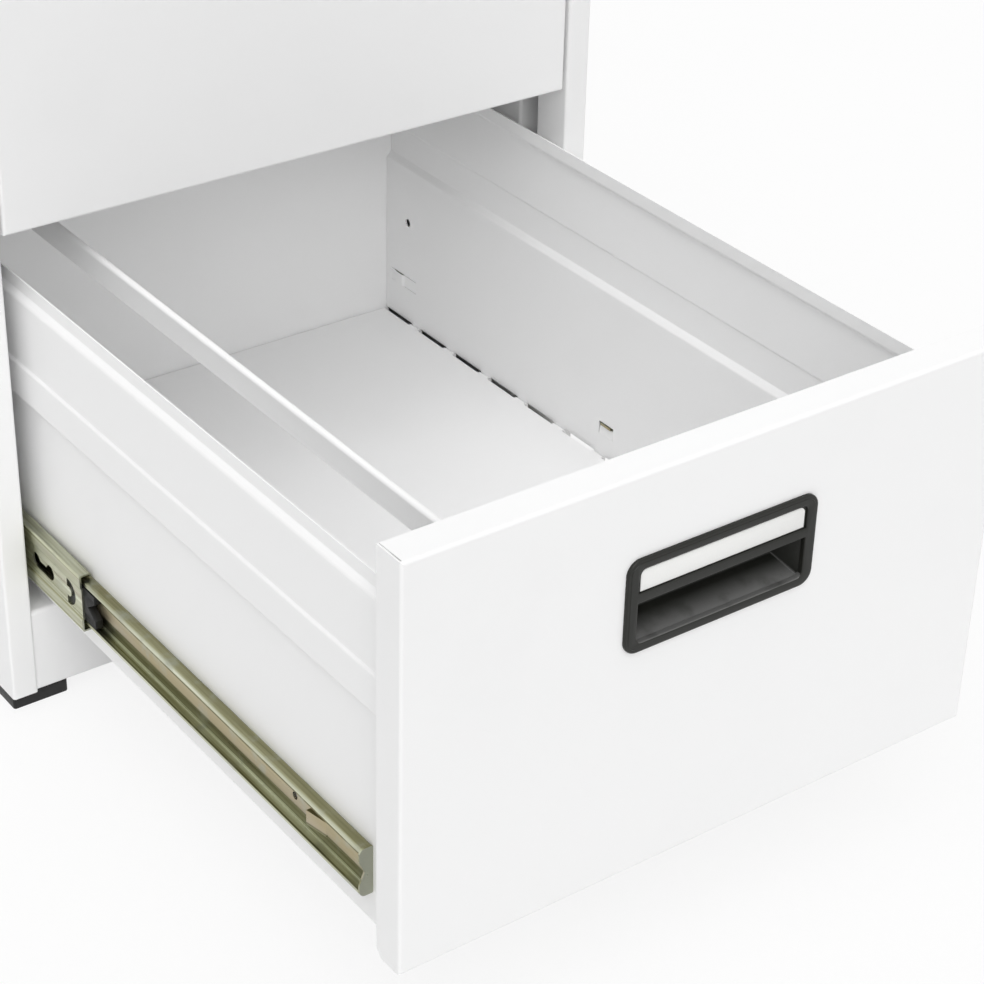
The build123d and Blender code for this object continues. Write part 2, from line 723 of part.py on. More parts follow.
def wall_section():
    """The right wall's section: rim, shoulder, a long bead and the bottom flange."""
    path = [
        (DRAWER_HALF - FLANGE / 2, WALL_BOTTOM),
        (DRAWER_HALF, WALL_BOTTOM),
        (DRAWER_HALF, BEAD_LOW - BEAD_LOW_RUN / 2),
        (DRAWER_HALF + BEAD_OUT, BEAD_LOW + BEAD_LOW_RUN / 2),
        (DRAWER_HALF + BEAD_OUT, BEAD_HIGH - BEAD_HIGH_RUN / 2),
        (DRAWER_HALF + WALL_STEP, BEAD_HIGH + BEAD_HIGH_RUN / 2),
        (DRAWER_HALF + WALL_STEP, SHOULDER),
        (DRAWER_HALF + WALL_STEP - RIM_JOGGLE, RIM_LOW),
        (DRAWER_HALF + WALL_STEP - RIM_JOGGLE, WALL_TOP),
    ]
    bends = [BEND, BEAD_BEND, BEAD_BEND, BEAD_BEND, BEAD_BEND, SHOULDER_BEND, BEND]
    return bent_sheet(path, bends=bends)


def drawer_wall():
    """The right wall, with end flanges and pressed openings."""
    rear = BACK_FACE + SHEET
    wall = along_y(wall_section(), behind(FRONT_DEPTH), behind(rear + SHEET))
    flange_x = (WALL_INNER - WALL_FLANGE, WALL_INNER + SHEET / 2)
    flange_z = (FLOOR_TOP + REVEAL, BEAD_LOW - BEAD_LOW_RUN)
    for y in (FRONT_DEPTH, rear):
        wall += block(flange_x, (behind(y), behind(y + SHEET)), flange_z)
    place = Pos(WALL_INNER, behind(BACK_FACE - WALL_HOLE[0]), WALL_HOLE[1])
    wall -= place * Rot(0, 90, 0) * Cylinder(WALL_HOLE_RADIUS, DRILL)
    wall -= wall_opening(*HOOK_SLOT, HOOK_SLOT_LENGTH, HOOK_SLOT_HEIGHT)
    wall -= wall_opening(BACK_FACE - BRIDGE[0], BRIDGE[1], BRIDGE_LENGTH, BRIDGE_HEIGHT)
    for slot_y in floor_slots():
        slot_z = (FLOOR_TOP - FLOOR_SLOT_DEPTH, FLOOR_TOP)
        wall -= block((WALL_INNER - OVERCUT, DRAWER_HALF + OVERCUT), slot_y, slot_z)
    return wall + wall_bridge() + wall_tongue()


def floor_slots():
    """From where to where each slot between the floor and a wall runs."""
    ends = [BACK_FACE - index * FLOOR_SLOT_PITCH for index in range(FLOOR_SLOT_COUNT)]
    return [(behind(end - FLOOR_SLOT), behind(end - SEAT_PLAY - SHEET)) for end in ends]


def wall_tongue():
    """The tongue below the hook in its slot. It leans out under the slide's ridge."""
    y, low = behind(HOOK_SLOT[0]), HOOK_SLOT[1] - HOOK_SLOT_HEIGHT / 2
    profile = [
        (WALL_INNER, low),
        (DRAWER_HALF, low),
        (DRAWER_HALF + TONGUE_LEAN, low + TONGUE_HEIGHT),
        (WALL_INNER + TONGUE_LEAN, low + TONGUE_HEIGHT),
    ]
    half = HOOK_SLOT_LENGTH / 2 - TONGUE_PLAY
    return along_y(make_face(Polyline(*profile, close=True)), y - half, y + half)


def wall_opening(distance, z, length, height):
    """A rectangular opening through the right wall."""
    y = behind(distance)
    x = (WALL_INNER - OVERCUT, DRAWER_HALF + OVERCUT)
    return block(x, (y - length / 2, y + length / 2), (z - height / 2, z + height / 2))


def wall_bridge():
    """The strip that stays across the bridge opening. Its rear half is pressed inwards."""
    y, z = behind(BACK_FACE - BRIDGE[0]), BRIDGE[1]
    path = [
        (DRAWER_HALF, y - BRIDGE_LENGTH / 2),
        (DRAWER_HALF, y - BRIDGE_STEP / 2),
        (DRAWER_HALF - BRIDGE_RISE, y + BRIDGE_STEP / 2),
        (DRAWER_HALF - BRIDGE_RISE, y + BRIDGE_LENGTH / 2 - BRIDGE_RAMP),
        (DRAWER_HALF, y + BRIDGE_LENGTH / 2),
    ]
    return along_z(bent_sheet(path), z - BRIDGE_STRIP / 2, z + BRIDGE_STRIP / 2)


def drawer_floor():
    """The floor, folded down all round, with slots along its side folds."""
    half = WALL_INNER
    y = (behind(FRONT_DEPTH + SEAT_PLAY), behind(BACK_FACE - SEAT_PLAY))
    floor = folded_pan((-half, half), y, (FLOOR_TOP - FLOOR_FLANGE, FLOOR_TOP), (Axis.Z, False))
    for side in (-1, 1):
        edges = sorted((side * (half - FLOOR_SLOT_WIDTH), side * (half + OVERCUT)))
        for slot_y in floor_slots():
            slot_z = (FLOOR_TOP - FLOOR_SLOT_DEPTH, FLOOR_TOP + OVERCUT)
            floor -= block(edges, slot_y, slot_z)
    return floor


def drawer_back():
    """The back, cut to the walls' inner outline and hemmed to the rear."""
    low_half = WALL_INNER - SEAT_PLAY
    high_half = low_half + WALL_STEP
    rim_half = high_half - RIM_JOGGLE
    right = [
        (low_half, FLOOR_TOP - SHEET - FLOOR_FLANGE / 2),
        (low_half, BEAD_LOW - BEAD_LOW_RUN / 2),
        (low_half + BEAD_OUT, BEAD_LOW + BEAD_LOW_RUN / 2),
        (low_half + BEAD_OUT, BEAD_HIGH - BEAD_HIGH_RUN / 2),
        (high_half, BEAD_HIGH + BEAD_HIGH_RUN / 2),
        (high_half, SHOULDER - SHEET),
        (rim_half, RIM_LOW - SHEET),
        (rim_half, WALL_TOP),
    ]
    outline = right + [(-x, z) for x, z in reversed(right)]
    face = make_face(Polyline(*outline, close=True))
    back = along_y(face, behind(BACK_FACE), behind(BACK_FACE + SHEET))
    hem_y = (behind(BACK_FACE), behind(BACK_FACE + SHEET + BACK_HEM))
    return back + block((-rim_half, rim_half), hem_y, (WALL_TOP - SHEET, WALL_TOP))


def file_rail():
    """The rail that hanging files hook over, with a tab at each end."""
    left = RAIL_X - RAIL_WIDTH / 2
    right = RAIL_X + RAIL_WIDTH / 2
    path = [
        (right, WALL_TOP - RAIL_SHORT_LEG),
        (right, WALL_TOP),
        (left, WALL_TOP),
        (left, WALL_TOP - RAIL_HEIGHT),
    ]
    section = bent_sheet(path, sheet=RAIL_SHEET, bend=RAIL_BEND)
    rail = along_y(section, behind(FRONT_DEPTH), behind(BACK_FACE))
    tab_x = (left - RAIL_TAB, left + RAIL_SHEET / 2)
    tab_z = (WALL_TOP - RAIL_HEIGHT, WALL_TOP - RAIL_BEND - RAIL_SHEET)
    for y in (FRONT_DEPTH, BACK_FACE - RAIL_SHEET):
        rail += block(tab_x, (behind(y), behind(y + RAIL_SHEET)), tab_z)
    return rail


def handle():
    """Moulded handle: a rim, a label window, a pull bar and a finger tub."""
    plate = block(
        (-HANDLE_WIDTH / 2, HANDLE_WIDTH / 2),
        (behind(-HANDLE_PROUD), behind(0)),
        (HANDLE_LOW, HANDLE_HIGH),
    )
    plate = fillet(plate.edges().filter_by(Axis.Y), HANDLE_CORNER)
    plate = fillet(plate.faces().sort_by(Axis.Y)[0].edges(), HANDLE_EDGE)
    body = plate + tub_outline(0.0, (behind(0), behind(TUB_DEPTH)))
    cavity = [
        (behind(-HANDLE_PROUD - OVERCUT), RECESS_LOW),
        (behind(0), RECESS_LOW),
        (behind(TUB_DEPTH - TUB_WALL), RECESS_LOW + TUB_RISE),
        (behind(TUB_DEPTH - TUB_WALL), WINDOW_HIGH),
        (behind(BAR_BACK), WINDOW_HIGH),
        (behind(BAR_BACK), BAR_LOW),
        (behind(-HANDLE_PROUD - OVERCUT), BAR_LOW),
    ]
    body -= along_x(make_face(Polyline(*cavity, close=True)), -WINDOW_HALF, WINDOW_HALF)
    body -= block(
        (-WINDOW_HALF, WINDOW_HALF),
        (behind(-HANDLE_PROUD - OVERCUT), behind(LABEL_DEPTH - HANDLE_PROUD)),
        (WINDOW_LOW, WINDOW_HIGH),
    )
    return body + snap_catches()


def snap_catches():
    """Catches that hold the tub behind the front's face."""
    catches = []
    low = RECESS_LOW - TUB_WALL
    high = WINDOW_HIGH + TUB_WALL
    y = (behind(SHEET), behind(SHEET + SNAP_DEPTH))
    for side in (-1, 1):
        centre = side * WINDOW_HALF / 2
        x = (centre - SNAP_WIDTH / 2, centre + SNAP_WIDTH / 2)
        catches.append(block(x, y, (low - SNAP_CATCH, low)))
        catches.append(block(x, y, (high, high + SNAP_CATCH)))
    return catches


def label_card():
    """Blank card in the handle's window."""
    half = WINDOW_HALF - LABEL_PLAY
    bottom = LABEL_DEPTH - HANDLE_PROUD
    y = (behind(bottom - LABEL_THICKNESS), behind(bottom))
    return block((-half, half), y, (WINDOW_LOW + LABEL_PLAY, WINDOW_HIGH - LABEL_PLAY))


def drawer_pieces():
    """Every piece that moves with a drawer, shut, with the drawer's bottom at Z 0."""
    pieces = {
        "front": drawer_front(),
        "front_liner": front_liner(),
        "floor": drawer_floor(),
        "back": drawer_back(),
        "file_rail": file_rail(),
        "handle": handle(),
        "label_card": label_card(),
    }
    for side, wall in left_and_right(drawer_wall()).items():
        pieces[f"{side}_wall"] = wall
    member = Pos(0, 0, SLIDE_CENTRE) * drawer_member()
    for side, shape in left_and_right(member).items():
        pieces[f"{side}_drawer_member"] = shape
    return pieces


def intermediate_pieces():
    """The pieces that move with a pair of intermediate members."""
    place = Pos(0, 0, SLIDE_CENTRE)
    members = left_and_right(place * intermediate_member())
    bumpers = left_and_right(place * bumper())
    pieces = {f"{side}_intermediate_member": shape for side, shape in members.items()}
    pieces["end_bumpers"] = Compound(children=list(bumpers.values()))
    return pieces


def cage_pair(cage):
    """A ball cage on each side of a drawer."""
    pair = left_and_right(Pos(0, 0, SLIDE_CENTRE) * cage)
    return Compound(children=list(pair.values()))


def write(name, shape):
    """Write one piece to its own file."""
    shape.label = name
    export_step(shape, f"parts/{name}.step")


def write_cabinet():
    """Write the pieces that stay put."""
    for side, shape in left_and_right(side_panel()).items():
        write(f"{side}_side_panel", shape)
    for place, start in zip(("front", "rear"), UPRIGHT_STARTS):
        for side, shape in left_and_right(upright(start)).items():
            write(f"{side}_{place}_upright", shape)
    for side, sign in (("left", -1), ("right", 1)):
        for end in ("front", "rear"):
            write(f"{end}_{side}_foot", foot(sign, end))
    write("top_panel", top_panel())
    write("top_stiffener", top_stiffener())
    write("back_panel", back_panel())
    write("header_rail", header_rail())
    write("base_pan", base_pan())
    write("back_rivets", back_rivets())
    write("slide_rivets", slide_rivets())


def write_drawers():
    """Write each drawer and its slides where they stand at rest."""
    drawer = drawer_pieces()
    intermediate = intermediate_pieces()
    member = left_and_right(Pos(0, 0, SLIDE_CENTRE) * cabinet_member())
    outer = cage_pair(outer_cage())
    inner = cage_pair(inner_cage())
    for which, level in DRAWER_LEVELS.items():
        shift = DRAWER_SHIFTS[which]
        for name, shape in drawer.items():
            write(f"{which}_{name}", Pos(0, -shift, level) * shape)
        for name, shape in intermediate.items():
            place = Pos(0, -shift * INTERMEDIATE_SHARE, level)
            write(f"{which}_{name}", place * shape)
        for side, shape in member.items():
            write(f"{which}_{side}_cabinet_member", Pos(0, 0, level) * shape)
        outer_place = Pos(0, -shift * OUTER_CAGE_SHARE, level)
        inner_place = Pos(0, -shift * INNER_CAGE_SHARE, level)
        write(f"{which}_outer_ball_cages", outer_place * outer)
        write(f"{which}_inner_ball_cages", inner_place * inner)


write_cabinet()
write_drawers()
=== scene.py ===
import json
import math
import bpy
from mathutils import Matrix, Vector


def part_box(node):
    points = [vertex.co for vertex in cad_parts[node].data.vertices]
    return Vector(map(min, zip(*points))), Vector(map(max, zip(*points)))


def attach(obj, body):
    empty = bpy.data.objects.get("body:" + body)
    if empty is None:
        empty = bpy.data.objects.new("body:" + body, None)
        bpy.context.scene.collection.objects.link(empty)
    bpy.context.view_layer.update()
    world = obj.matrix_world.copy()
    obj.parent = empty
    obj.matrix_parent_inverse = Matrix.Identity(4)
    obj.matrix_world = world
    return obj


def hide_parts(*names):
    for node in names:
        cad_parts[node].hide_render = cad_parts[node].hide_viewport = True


bl_info = {
    "name": "Filing Cabinet",
    "version": (1, 0, 0),
    "blender": (4, 5, 0),
    "location": "3D Viewport > Sidebar > Cabinet",
    "description": "Finishes, moulded parts and studio of a two-drawer filing cabinet",
    "category": "Object",
}

import bmesh
import bpy
from bpy.props import FloatProperty, FloatVectorProperty, IntProperty, PointerProperty
from bpy.types import Operator, Panel, PropertyGroup
from mathutils import Matrix, Vector

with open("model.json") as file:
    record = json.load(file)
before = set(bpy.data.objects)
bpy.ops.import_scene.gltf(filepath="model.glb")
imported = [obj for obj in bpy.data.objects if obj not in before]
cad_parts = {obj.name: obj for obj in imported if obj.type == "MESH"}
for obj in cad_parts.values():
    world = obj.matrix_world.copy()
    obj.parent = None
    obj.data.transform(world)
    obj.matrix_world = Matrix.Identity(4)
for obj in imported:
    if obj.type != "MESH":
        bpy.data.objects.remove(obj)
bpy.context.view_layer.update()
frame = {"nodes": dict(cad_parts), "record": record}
DRAWERS = ("lower", "upper")

# Two places nearer than this count as the same place
NEAR = 0.0001
# Points nearer than this are merged
MERGE = 0.00001
# How far a cut runs out past the face that it starts from
OVERCUT = 0.001
# Sockets of a Mix node, for two values and for two colours
VALUES_IN, VALUE_OUT = (2, 3), 0
COLORS_IN, COLOR_OUT = (6, 7), 2


# Sizes and colours that a user would change

class PaintSettings(PropertyGroup):
    """White powder coat on the folded sheet."""
    color: FloatVectorProperty(
        name="Colour", description="Colour of the powder coat",
        subtype="COLOR", min=0.0, max=1.0, default=(0.94, 0.94, 0.94))
    unevenness: FloatProperty(
        name="Unevenness", description="How far the colour drifts over the sheet",
        subtype="FACTOR", min=0.0, max=0.3, default=0.02)
    gloss_low: FloatProperty(
        name="Smoothest", description="Roughness of the smoothest paint",
        subtype="FACTOR", min=0.0, max=1.0, default=0.36)
    gloss_high: FloatProperty(
        name="Roughest", description="Roughness of the roughest paint",
        subtype="FACTOR", min=0.0, max=1.0, default=0.48)
    grain_depth: FloatProperty(
        name="Grain Depth", description="Height of the fine orange peel",
        unit="LENGTH", min=0.0, max=0.001, default=0.00003, precision=6)
    rubbed: FloatProperty(
        name="Rubbed", description="How bright the rubbed patches stay",
        subtype="FACTOR", min=0.0, max=1.0, default=0.985)


class SlideSettings(PropertyGroup):
    """Yellow zinc plating of the ball slides."""
    pale: FloatVectorProperty(
        name="Pale", description="Palest tone of the plating",
        subtype="COLOR", min=0.0, max=1.0, default=(0.66, 0.68, 0.55))
    olive: FloatVectorProperty(
        name="Olive", description="Green tone of the plating",
        subtype="COLOR", min=0.0, max=1.0, default=(0.32, 0.32, 0.19))
    rose: FloatVectorProperty(
        name="Rose", description="Pink and tan bloom of the plating",
        subtype="COLOR", min=0.0, max=1.0, default=(0.45, 0.40, 0.34))
    tan: FloatVectorProperty(
        name="Tan", description="Tan patches on the ridge along each slide",
        subtype="COLOR", min=0.0, max=1.0, default=(0.40, 0.34, 0.19))
    # Painted shade: this tint darkens the plating inside the slides' channels, where shade
    # falls
    channel: FloatVectorProperty(
        name="Channel", description="How much the plating darkens inside the channels",
        subtype="COLOR", min=0.0, max=1.0, default=(0.58, 0.55, 0.42))
    # Painted shade: this tint darkens the plating along the slides' folds, where shade falls
    painted_fold_shade: FloatVectorProperty(
        name="Groove", description="How much the plating darkens along the folds",
        subtype="COLOR", min=0.0, max=1.0, default=(0.26, 0.25, 0.19))
    stain: FloatProperty(
        name="Stain", description="How bright the stains and the cut front ends are",
        subtype="FACTOR", min=0.0, max=1.0, default=0.6)
    roughness: FloatProperty(
        name="Roughness", description="Roughness of the plating",
        subtype="FACTOR", min=0.0, max=1.0, default=0.32)
    drawn_depth: FloatProperty(
        name="Drawn Depth", description="Height of the fine lines along the slides",
        unit="LENGTH", min=0.0, max=0.001, default=0.00004, precision=6)


class PlasticSettings(PropertyGroup):
    """Moulded plastic of the handles, feet and bumpers."""
    handle_color: FloatVectorProperty(
        name="Handle", description="Colour of the handles",
        subtype="COLOR", min=0.0, max=1.0, default=(0.0125, 0.013, 0.0105))
    black_color: FloatVectorProperty(
        name="Black", description="Colour of the feet and the bumpers",
        subtype="COLOR", min=0.0, max=1.0, default=(0.008, 0.008, 0.008))
    handle_roughness: FloatProperty(
        name="Handle Roughness", description="Roughness of the handles",
        subtype="FACTOR", min=0.0, max=1.0, default=0.36)
    black_roughness: FloatProperty(
        name="Black Roughness", description="Roughness of the feet and the bumpers",
        subtype="FACTOR", min=0.0, max=1.0, default=0.5)
    # Painted light: the colour of the finger tub's floor where the overhead light falls on it
    tub_floor_light: FloatVectorProperty(
        name="Tub Floor", description="Colour of the polished floor of the finger tub",
        subtype="COLOR", min=0.0, max=1.0, default=(0.13, 0.13, 0.127))
    texture_depth: FloatProperty(
        name="Texture Depth", description="Height of the mould's spark texture",
        unit="LENGTH", min=0.0, max=0.001, default=0.00002, precision=6)


class CardSettings(PropertyGroup):
    """Blank cards in the label windows."""
    color: FloatVectorProperty(
        name="Colour", description="Colour of the card",
        subtype="COLOR", min=0.0, max=1.0, default=(0.9, 0.9, 0.885))
    roughness: FloatProperty(
        name="Roughness", description="Roughness of the card",
        subtype="FACTOR", min=0.0, max=1.0, default=0.85)
    fibre_depth: FloatProperty(
        name="Fibre Depth", description="Height of the card's fibres",
        unit="LENGTH", min=0.0, max=0.001, default=0.00003, precision=6)
    edge: FloatProperty(
        name="Edge", description="Rounding of the card's front edge",
        unit="LENGTH", default=0.00012, precision=5)


class HandleSettings(PropertyGroup):
    """Recessed handle with a label window."""
    proud: FloatProperty(
        name="Proud", description="How far the rim stands in front of the drawer",
        unit="LENGTH", default=0.0025, precision=4)
    side_border: FloatProperty(
        name="Side Border", description="Width of the rim at the left and right",
        unit="LENGTH", default=0.0078, precision=4)
    border: FloatProperty(
        name="Border", description="Width of the rim at the top and bottom",
        unit="LENGTH", default=0.0064, precision=4)
    window: FloatProperty(
        name="Window", description="Height of the label window",
        unit="LENGTH", default=0.015, precision=4)
    window_depth: FloatProperty(
        name="Window Depth", description="Depth of the label window",
        unit="LENGTH", default=0.0015, precision=4)
    bar: FloatProperty(
        name="Bar", description="Height of the pull bar",
        unit="LENGTH", default=0.0062, precision=4)
    bar_back: FloatProperty(
        name="Bar Back", description="Depth of the bar behind the drawer's face",
        unit="LENGTH", default=0.001, precision=4)
    corner: FloatProperty(
        name="Corner", description="Outer corner radius of the rim",
        unit="LENGTH", default=0.009, precision=4)
    inner_corner: FloatProperty(
        name="Inner Corner", description="Corner radius of the rim's openings",
        unit="LENGTH", default=0.0038, precision=4)
    edge: FloatProperty(
        name="Edge", description="Rounding of the rim's edges",
        unit="LENGTH", default=0.0009, precision=4)
    line_inset: FloatProperty(
        name="Line Inset", description="From the rim's edge to the slim line along it",
        unit="LENGTH", default=0.0022, precision=4)
    line_height: FloatProperty(
        name="Line Height", description="Step of the slim line along the rim",
        unit="LENGTH", default=0.0004, precision=4)
    line_width: FloatProperty(
        name="Line Width", description="Width of the slim line's slope",
        unit="LENGTH", default=0.0003, precision=4)
    wall: FloatProperty(
        name="Wall", description="Thickness of the finger tub's wall",
        unit="LENGTH", default=0.001, precision=4)
    lip: FloatProperty(
        name="Lip", description="How far the rim stands over the tub's floor",
        unit="LENGTH", default=0.0009, precision=4)
    rise: FloatProperty(
        name="Rise", description="How far the tub's floor rises to the back",
        unit="LENGTH", default=0.009, precision=4)
    slant: FloatProperty(
        name="Slant", description="How far the tub's ends lean in to the back",
        unit="LENGTH", default=0.007, precision=4)
    undercut: FloatProperty(
        name="Undercut", description="How far the tub's ends stand behind the rim",
        unit="LENGTH", default=0.0004, precision=4)
    crease: FloatProperty(
        name="Crease", description="Rounding inside the tub",
        unit="LENGTH", default=0.0011, precision=4)
    tub_edge: FloatProperty(
        name="Tub Edge", description="Rounding of the tub's back edges",
        unit="LENGTH", default=0.0012, precision=4)


class FootSettings(PropertyGroup):
    """Plastic feet under the cabinet."""
    height: FloatProperty(
        name="Height", description="Height of the pad",
        unit="LENGTH", default=0.010, precision=4)
    corner: FloatProperty(
        name="Corner", description="Corner radius of the pad",
        unit="LENGTH", default=0.002, precision=4)
    wall: FloatProperty(
        name="Wall", description="Thickness of the pad's wall and ribs",
        unit="LENGTH", default=0.0024, precision=4)
    edge: FloatProperty(
        name="Edge", description="Rounding of the pad's lower edges",
        unit="LENGTH", default=0.0006, precision=4)
    ribs: IntProperty(
        name="Ribs", description="Ribs each way under the pad", min=1, max=6, default=2)
    peg_radius: FloatProperty(
        name="Peg Radius", description="Radius of the peg over the pad",
        unit="LENGTH", default=0.004, precision=4)
    peg_edge: FloatProperty(
        name="Peg Edge", description="Rounding of the peg's top",
        unit="LENGTH", default=0.0008, precision=4)
    front_peg: FloatProperty(
        name="Front Peg", description="How far a front peg stands out from its pad's middle",
        unit="LENGTH", default=-0.011, precision=4)
    rear_peg: FloatProperty(
        name="Rear Peg", description="How far a rear peg stands out from its pad's middle",
        unit="LENGTH", default=0.0085, precision=4)


class BumperSettings(PropertyGroup):
    """Plastic bumpers in the front ends of the slides' middle members."""
    thickness: FloatProperty(
        name="Thickness", description="Thickness of a bumper",
        unit="LENGTH", default=0.0055, precision=4)
    notch: FloatProperty(
        name="Notch", description="Depth of the notch in the front end",
        unit="LENGTH", default=0.009, precision=4)
    notch_half: FloatProperty(
        name="Notch Half", description="Half the height of the notch",
        unit="LENGTH", default=0.0061, precision=4)
    inside: FloatProperty(
        name="Inside", description="Length of the end inside the member",
        unit="LENGTH", default=0.022, precision=4)
    panel_inset: FloatProperty(
        name="Panel Inset", description="Border of the sunk panels",
        unit="LENGTH", default=0.0012, precision=4)
    panel_depth: FloatProperty(
        name="Panel Depth", description="Depth of the sunk panels",
        unit="LENGTH", default=0.0008, precision=4)
    edge: FloatProperty(
        name="Edge", description="Rounding of the edges",
        unit="LENGTH", default=0.0004, precision=4)


class StageSettings(PropertyGroup):
    """Studio light and camera."""
    camera_place: FloatVectorProperty(
        name="Camera", description="Where the camera stands",
        subtype="TRANSLATION", unit="LENGTH", default=(-0.7906, -1.38275, 1.0161), precision=4)
    turn: FloatProperty(
        name="Turn", description="Heading of the camera, clockwise from +Y",
        unit="ROTATION", default=math.radians(36.606))
    tilt: FloatProperty(
        name="Tilt", description="How far the camera looks down",
        unit="ROTATION", default=math.radians(31.524))
    roll: FloatProperty(
        name="Roll", description="Roll of the camera",
        unit="ROTATION", default=math.radians(1.553))
    lens: FloatProperty(
        name="Lens", description="Focal length on a 36 mm sensor",
        unit="CAMERA", default=93.01)
    sky_low: FloatProperty(
        name="Sky at the Floor", description="Light from all round, at floor level",
        min=0.0, default=0.10)
    sky_high: FloatProperty(
        name="Sky Overhead", description="Light from all round, overhead",
        min=0.0, default=0.86)
    overhead_lamp: FloatProperty(
        name="Overhead Lamp", description="Strength of the soft lamp overhead",
        min=0.0, default=0.80)
    overhead_place: FloatVectorProperty(
        name="Overhead Place", description="Direction of the lamp overhead",
        subtype="DIRECTION", default=(-0.22, -0.25, 0.94))
    overhead_spread: FloatProperty(
        name="Overhead Spread", description="Breadth of the lamp overhead",
        unit="ROTATION", default=math.radians(50.0))
    front_lamp: FloatProperty(
        name="Front Lamp", description="Strength of the soft lamp in front",
        min=0.0, default=1.0)
    front_place: FloatVectorProperty(
        name="Front Place", description="Direction of the lamp in front",
        subtype="DIRECTION", default=(-0.42, -0.72, 0.56))
    front_spread: FloatProperty(
        name="Front Spread", description="Breadth of the lamp in front",
        unit="ROTATION", default=math.radians(45.0))
    floor_color: FloatVectorProperty(
        name="Floor", description="Colour of the floor",
        subtype="COLOR", min=0.0, max=1.0, default=(0.86, 0.86, 0.86))
    floor_shade: FloatProperty(
        name="Floor Shade", description="How much of the shadow shows on the white floor",
        subtype="FACTOR", min=0.0, max=1.0, default=0.16)


# Shaping by hand, in edit mode

def only(piece):
    """Make a piece the only selected object and the active one."""
    bpy.ops.object.select_all(action="DESELECT")
    piece.select_set(True)
    bpy.context.view_layer.objects.active = piece


def settle(name):
    """Name the new object and put its place, turn and size into its mesh."""
    piece = bpy.context.active_object
    piece.name = name
    piece.data.name = name
    bpy.ops.object.transform_apply(location=True, rotation=True, scale=True)
    return piece


def add_block(name, low, high):
    """Add a block between two corners."""
    low, high = Vector(low), Vector(high)
    bpy.ops.object.select_all(action="DESELECT")
    bpy.ops.mesh.primitive_cube_add(size=1.0, location=(low + high) / 2, scale=high - low)
    return settle(name)


def pick(piece, kind, test):
    """In edit mode, select only the parts of the mesh that pass a test."""
    bpy.ops.mesh.select_mode(type=kind)
    bpy.ops.mesh.select_all(action="DESELECT")
    mesh = bmesh.from_edit_mesh(piece.data)
    for part in {"FACE": mesh.faces, "EDGE": mesh.edges, "VERT": mesh.verts}[kind]:
        if test(part):
            part.select_set(True)
    mesh.select_flush_mode()
    bmesh.update_edit_mesh(piece.data)


def runs_along(edge, axis):
    """Whether an edge runs along an axis."""
    run = edge.verts[1].co - edge.verts[0].co
    return abs(run[axis]) > 0.99 * run.length


def middle(part):
    """The middle of an edge or a face."""
    return sum((vertex.co for vertex in part.verts), Vector()) / len(part.verts)


def round_edges(piece, test, radius, segments=3):
    """Bevel the edges that pass a test."""
    only(piece)
    bpy.ops.object.mode_set(mode="EDIT")
    pick(piece, "EDGE", test)
    bpy.ops.mesh.bevel(
        offset=radius, segments=segments, profile=0.5, affect="EDGES", clamp_overlap=True)
    bpy.ops.object.mode_set(mode="OBJECT")


def combine(piece, other, operation):
    """Add another object to a piece, or cut it away, and remove that object."""
    only(piece)
    modifier = piece.modifiers.new("Combine", "BOOLEAN")
    modifier.operation = operation
    modifier.solver = "EXACT"
    modifier.object = other
    bpy.ops.object.modifier_apply(modifier=modifier.name)
    bpy.data.objects.remove(other)


def merge_doubles(piece):
    """Merge the points that lie on each other, and leave the piece in edit mode."""
    only(piece)
    bpy.ops.object.mode_set(mode="EDIT")
    bpy.ops.mesh.select_all(action="SELECT")
    bpy.ops.mesh.remove_doubles(threshold=MERGE)


def tidy(piece):
    """Merge doubles, point the faces outwards and shade the round parts smooth."""
    merge_doubles(piece)
    bpy.ops.mesh.normals_make_consistent(inside=False)
    bpy.ops.object.mode_set(mode="OBJECT")
    bpy.ops.object.shade_smooth_by_angle(angle=math.radians(35.0))


def copy_piece(piece, name, shift):
    """Copy a piece with its own mesh, moved within that mesh."""
    only(piece)
    bpy.ops.object.duplicate()
    bpy.ops.transform.translate(value=shift)
    return settle(name)


def mirror_piece(piece, name):
    """Copy a piece with its own mesh to the other side of the cabinet."""
    only(piece)
    bpy.ops.object.duplicate()
    bpy.context.active_object.scale.x = -1.0
    other = settle(name)
    tidy(other)
    return other


def dress(piece, finish, record_slot, body, *nodes):
    """Give a piece its finish, its body and the CAD nodes that it stands for."""
    piece.data.materials.clear()
    piece.data.materials.append(bpy.data.materials[finish])
    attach(piece, body)
    if nodes:
        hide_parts(*nodes)


# Finishes

# Half the height of a slide's members, which the folds' lines follow
DRAWER_MEMBER_HALF = 0.0165
MIDDLE_MEMBER_HALF = 0.021
# Heights over a handle's lower edge between which the painted light on the tub's floor fades
# into the painted shadow of the bar
TUB_LOW, TUB_HIGH = 0.0062, 0.0125


def new_group(name, inputs, output, kind):
    """A node group with inputs and one output."""
    group = bpy.data.node_groups.new(name, "ShaderNodeTree")
    for label, socket_type, value in inputs:
        socket = group.interface.new_socket(name=label, in_out="INPUT", socket_type=socket_type)
        socket.default_value = value
    group.interface.new_socket(name=output, in_out="OUTPUT", socket_type=kind)
    return group, group.nodes.new("NodeGroupInput"), group.nodes.new("NodeGroupOutput")


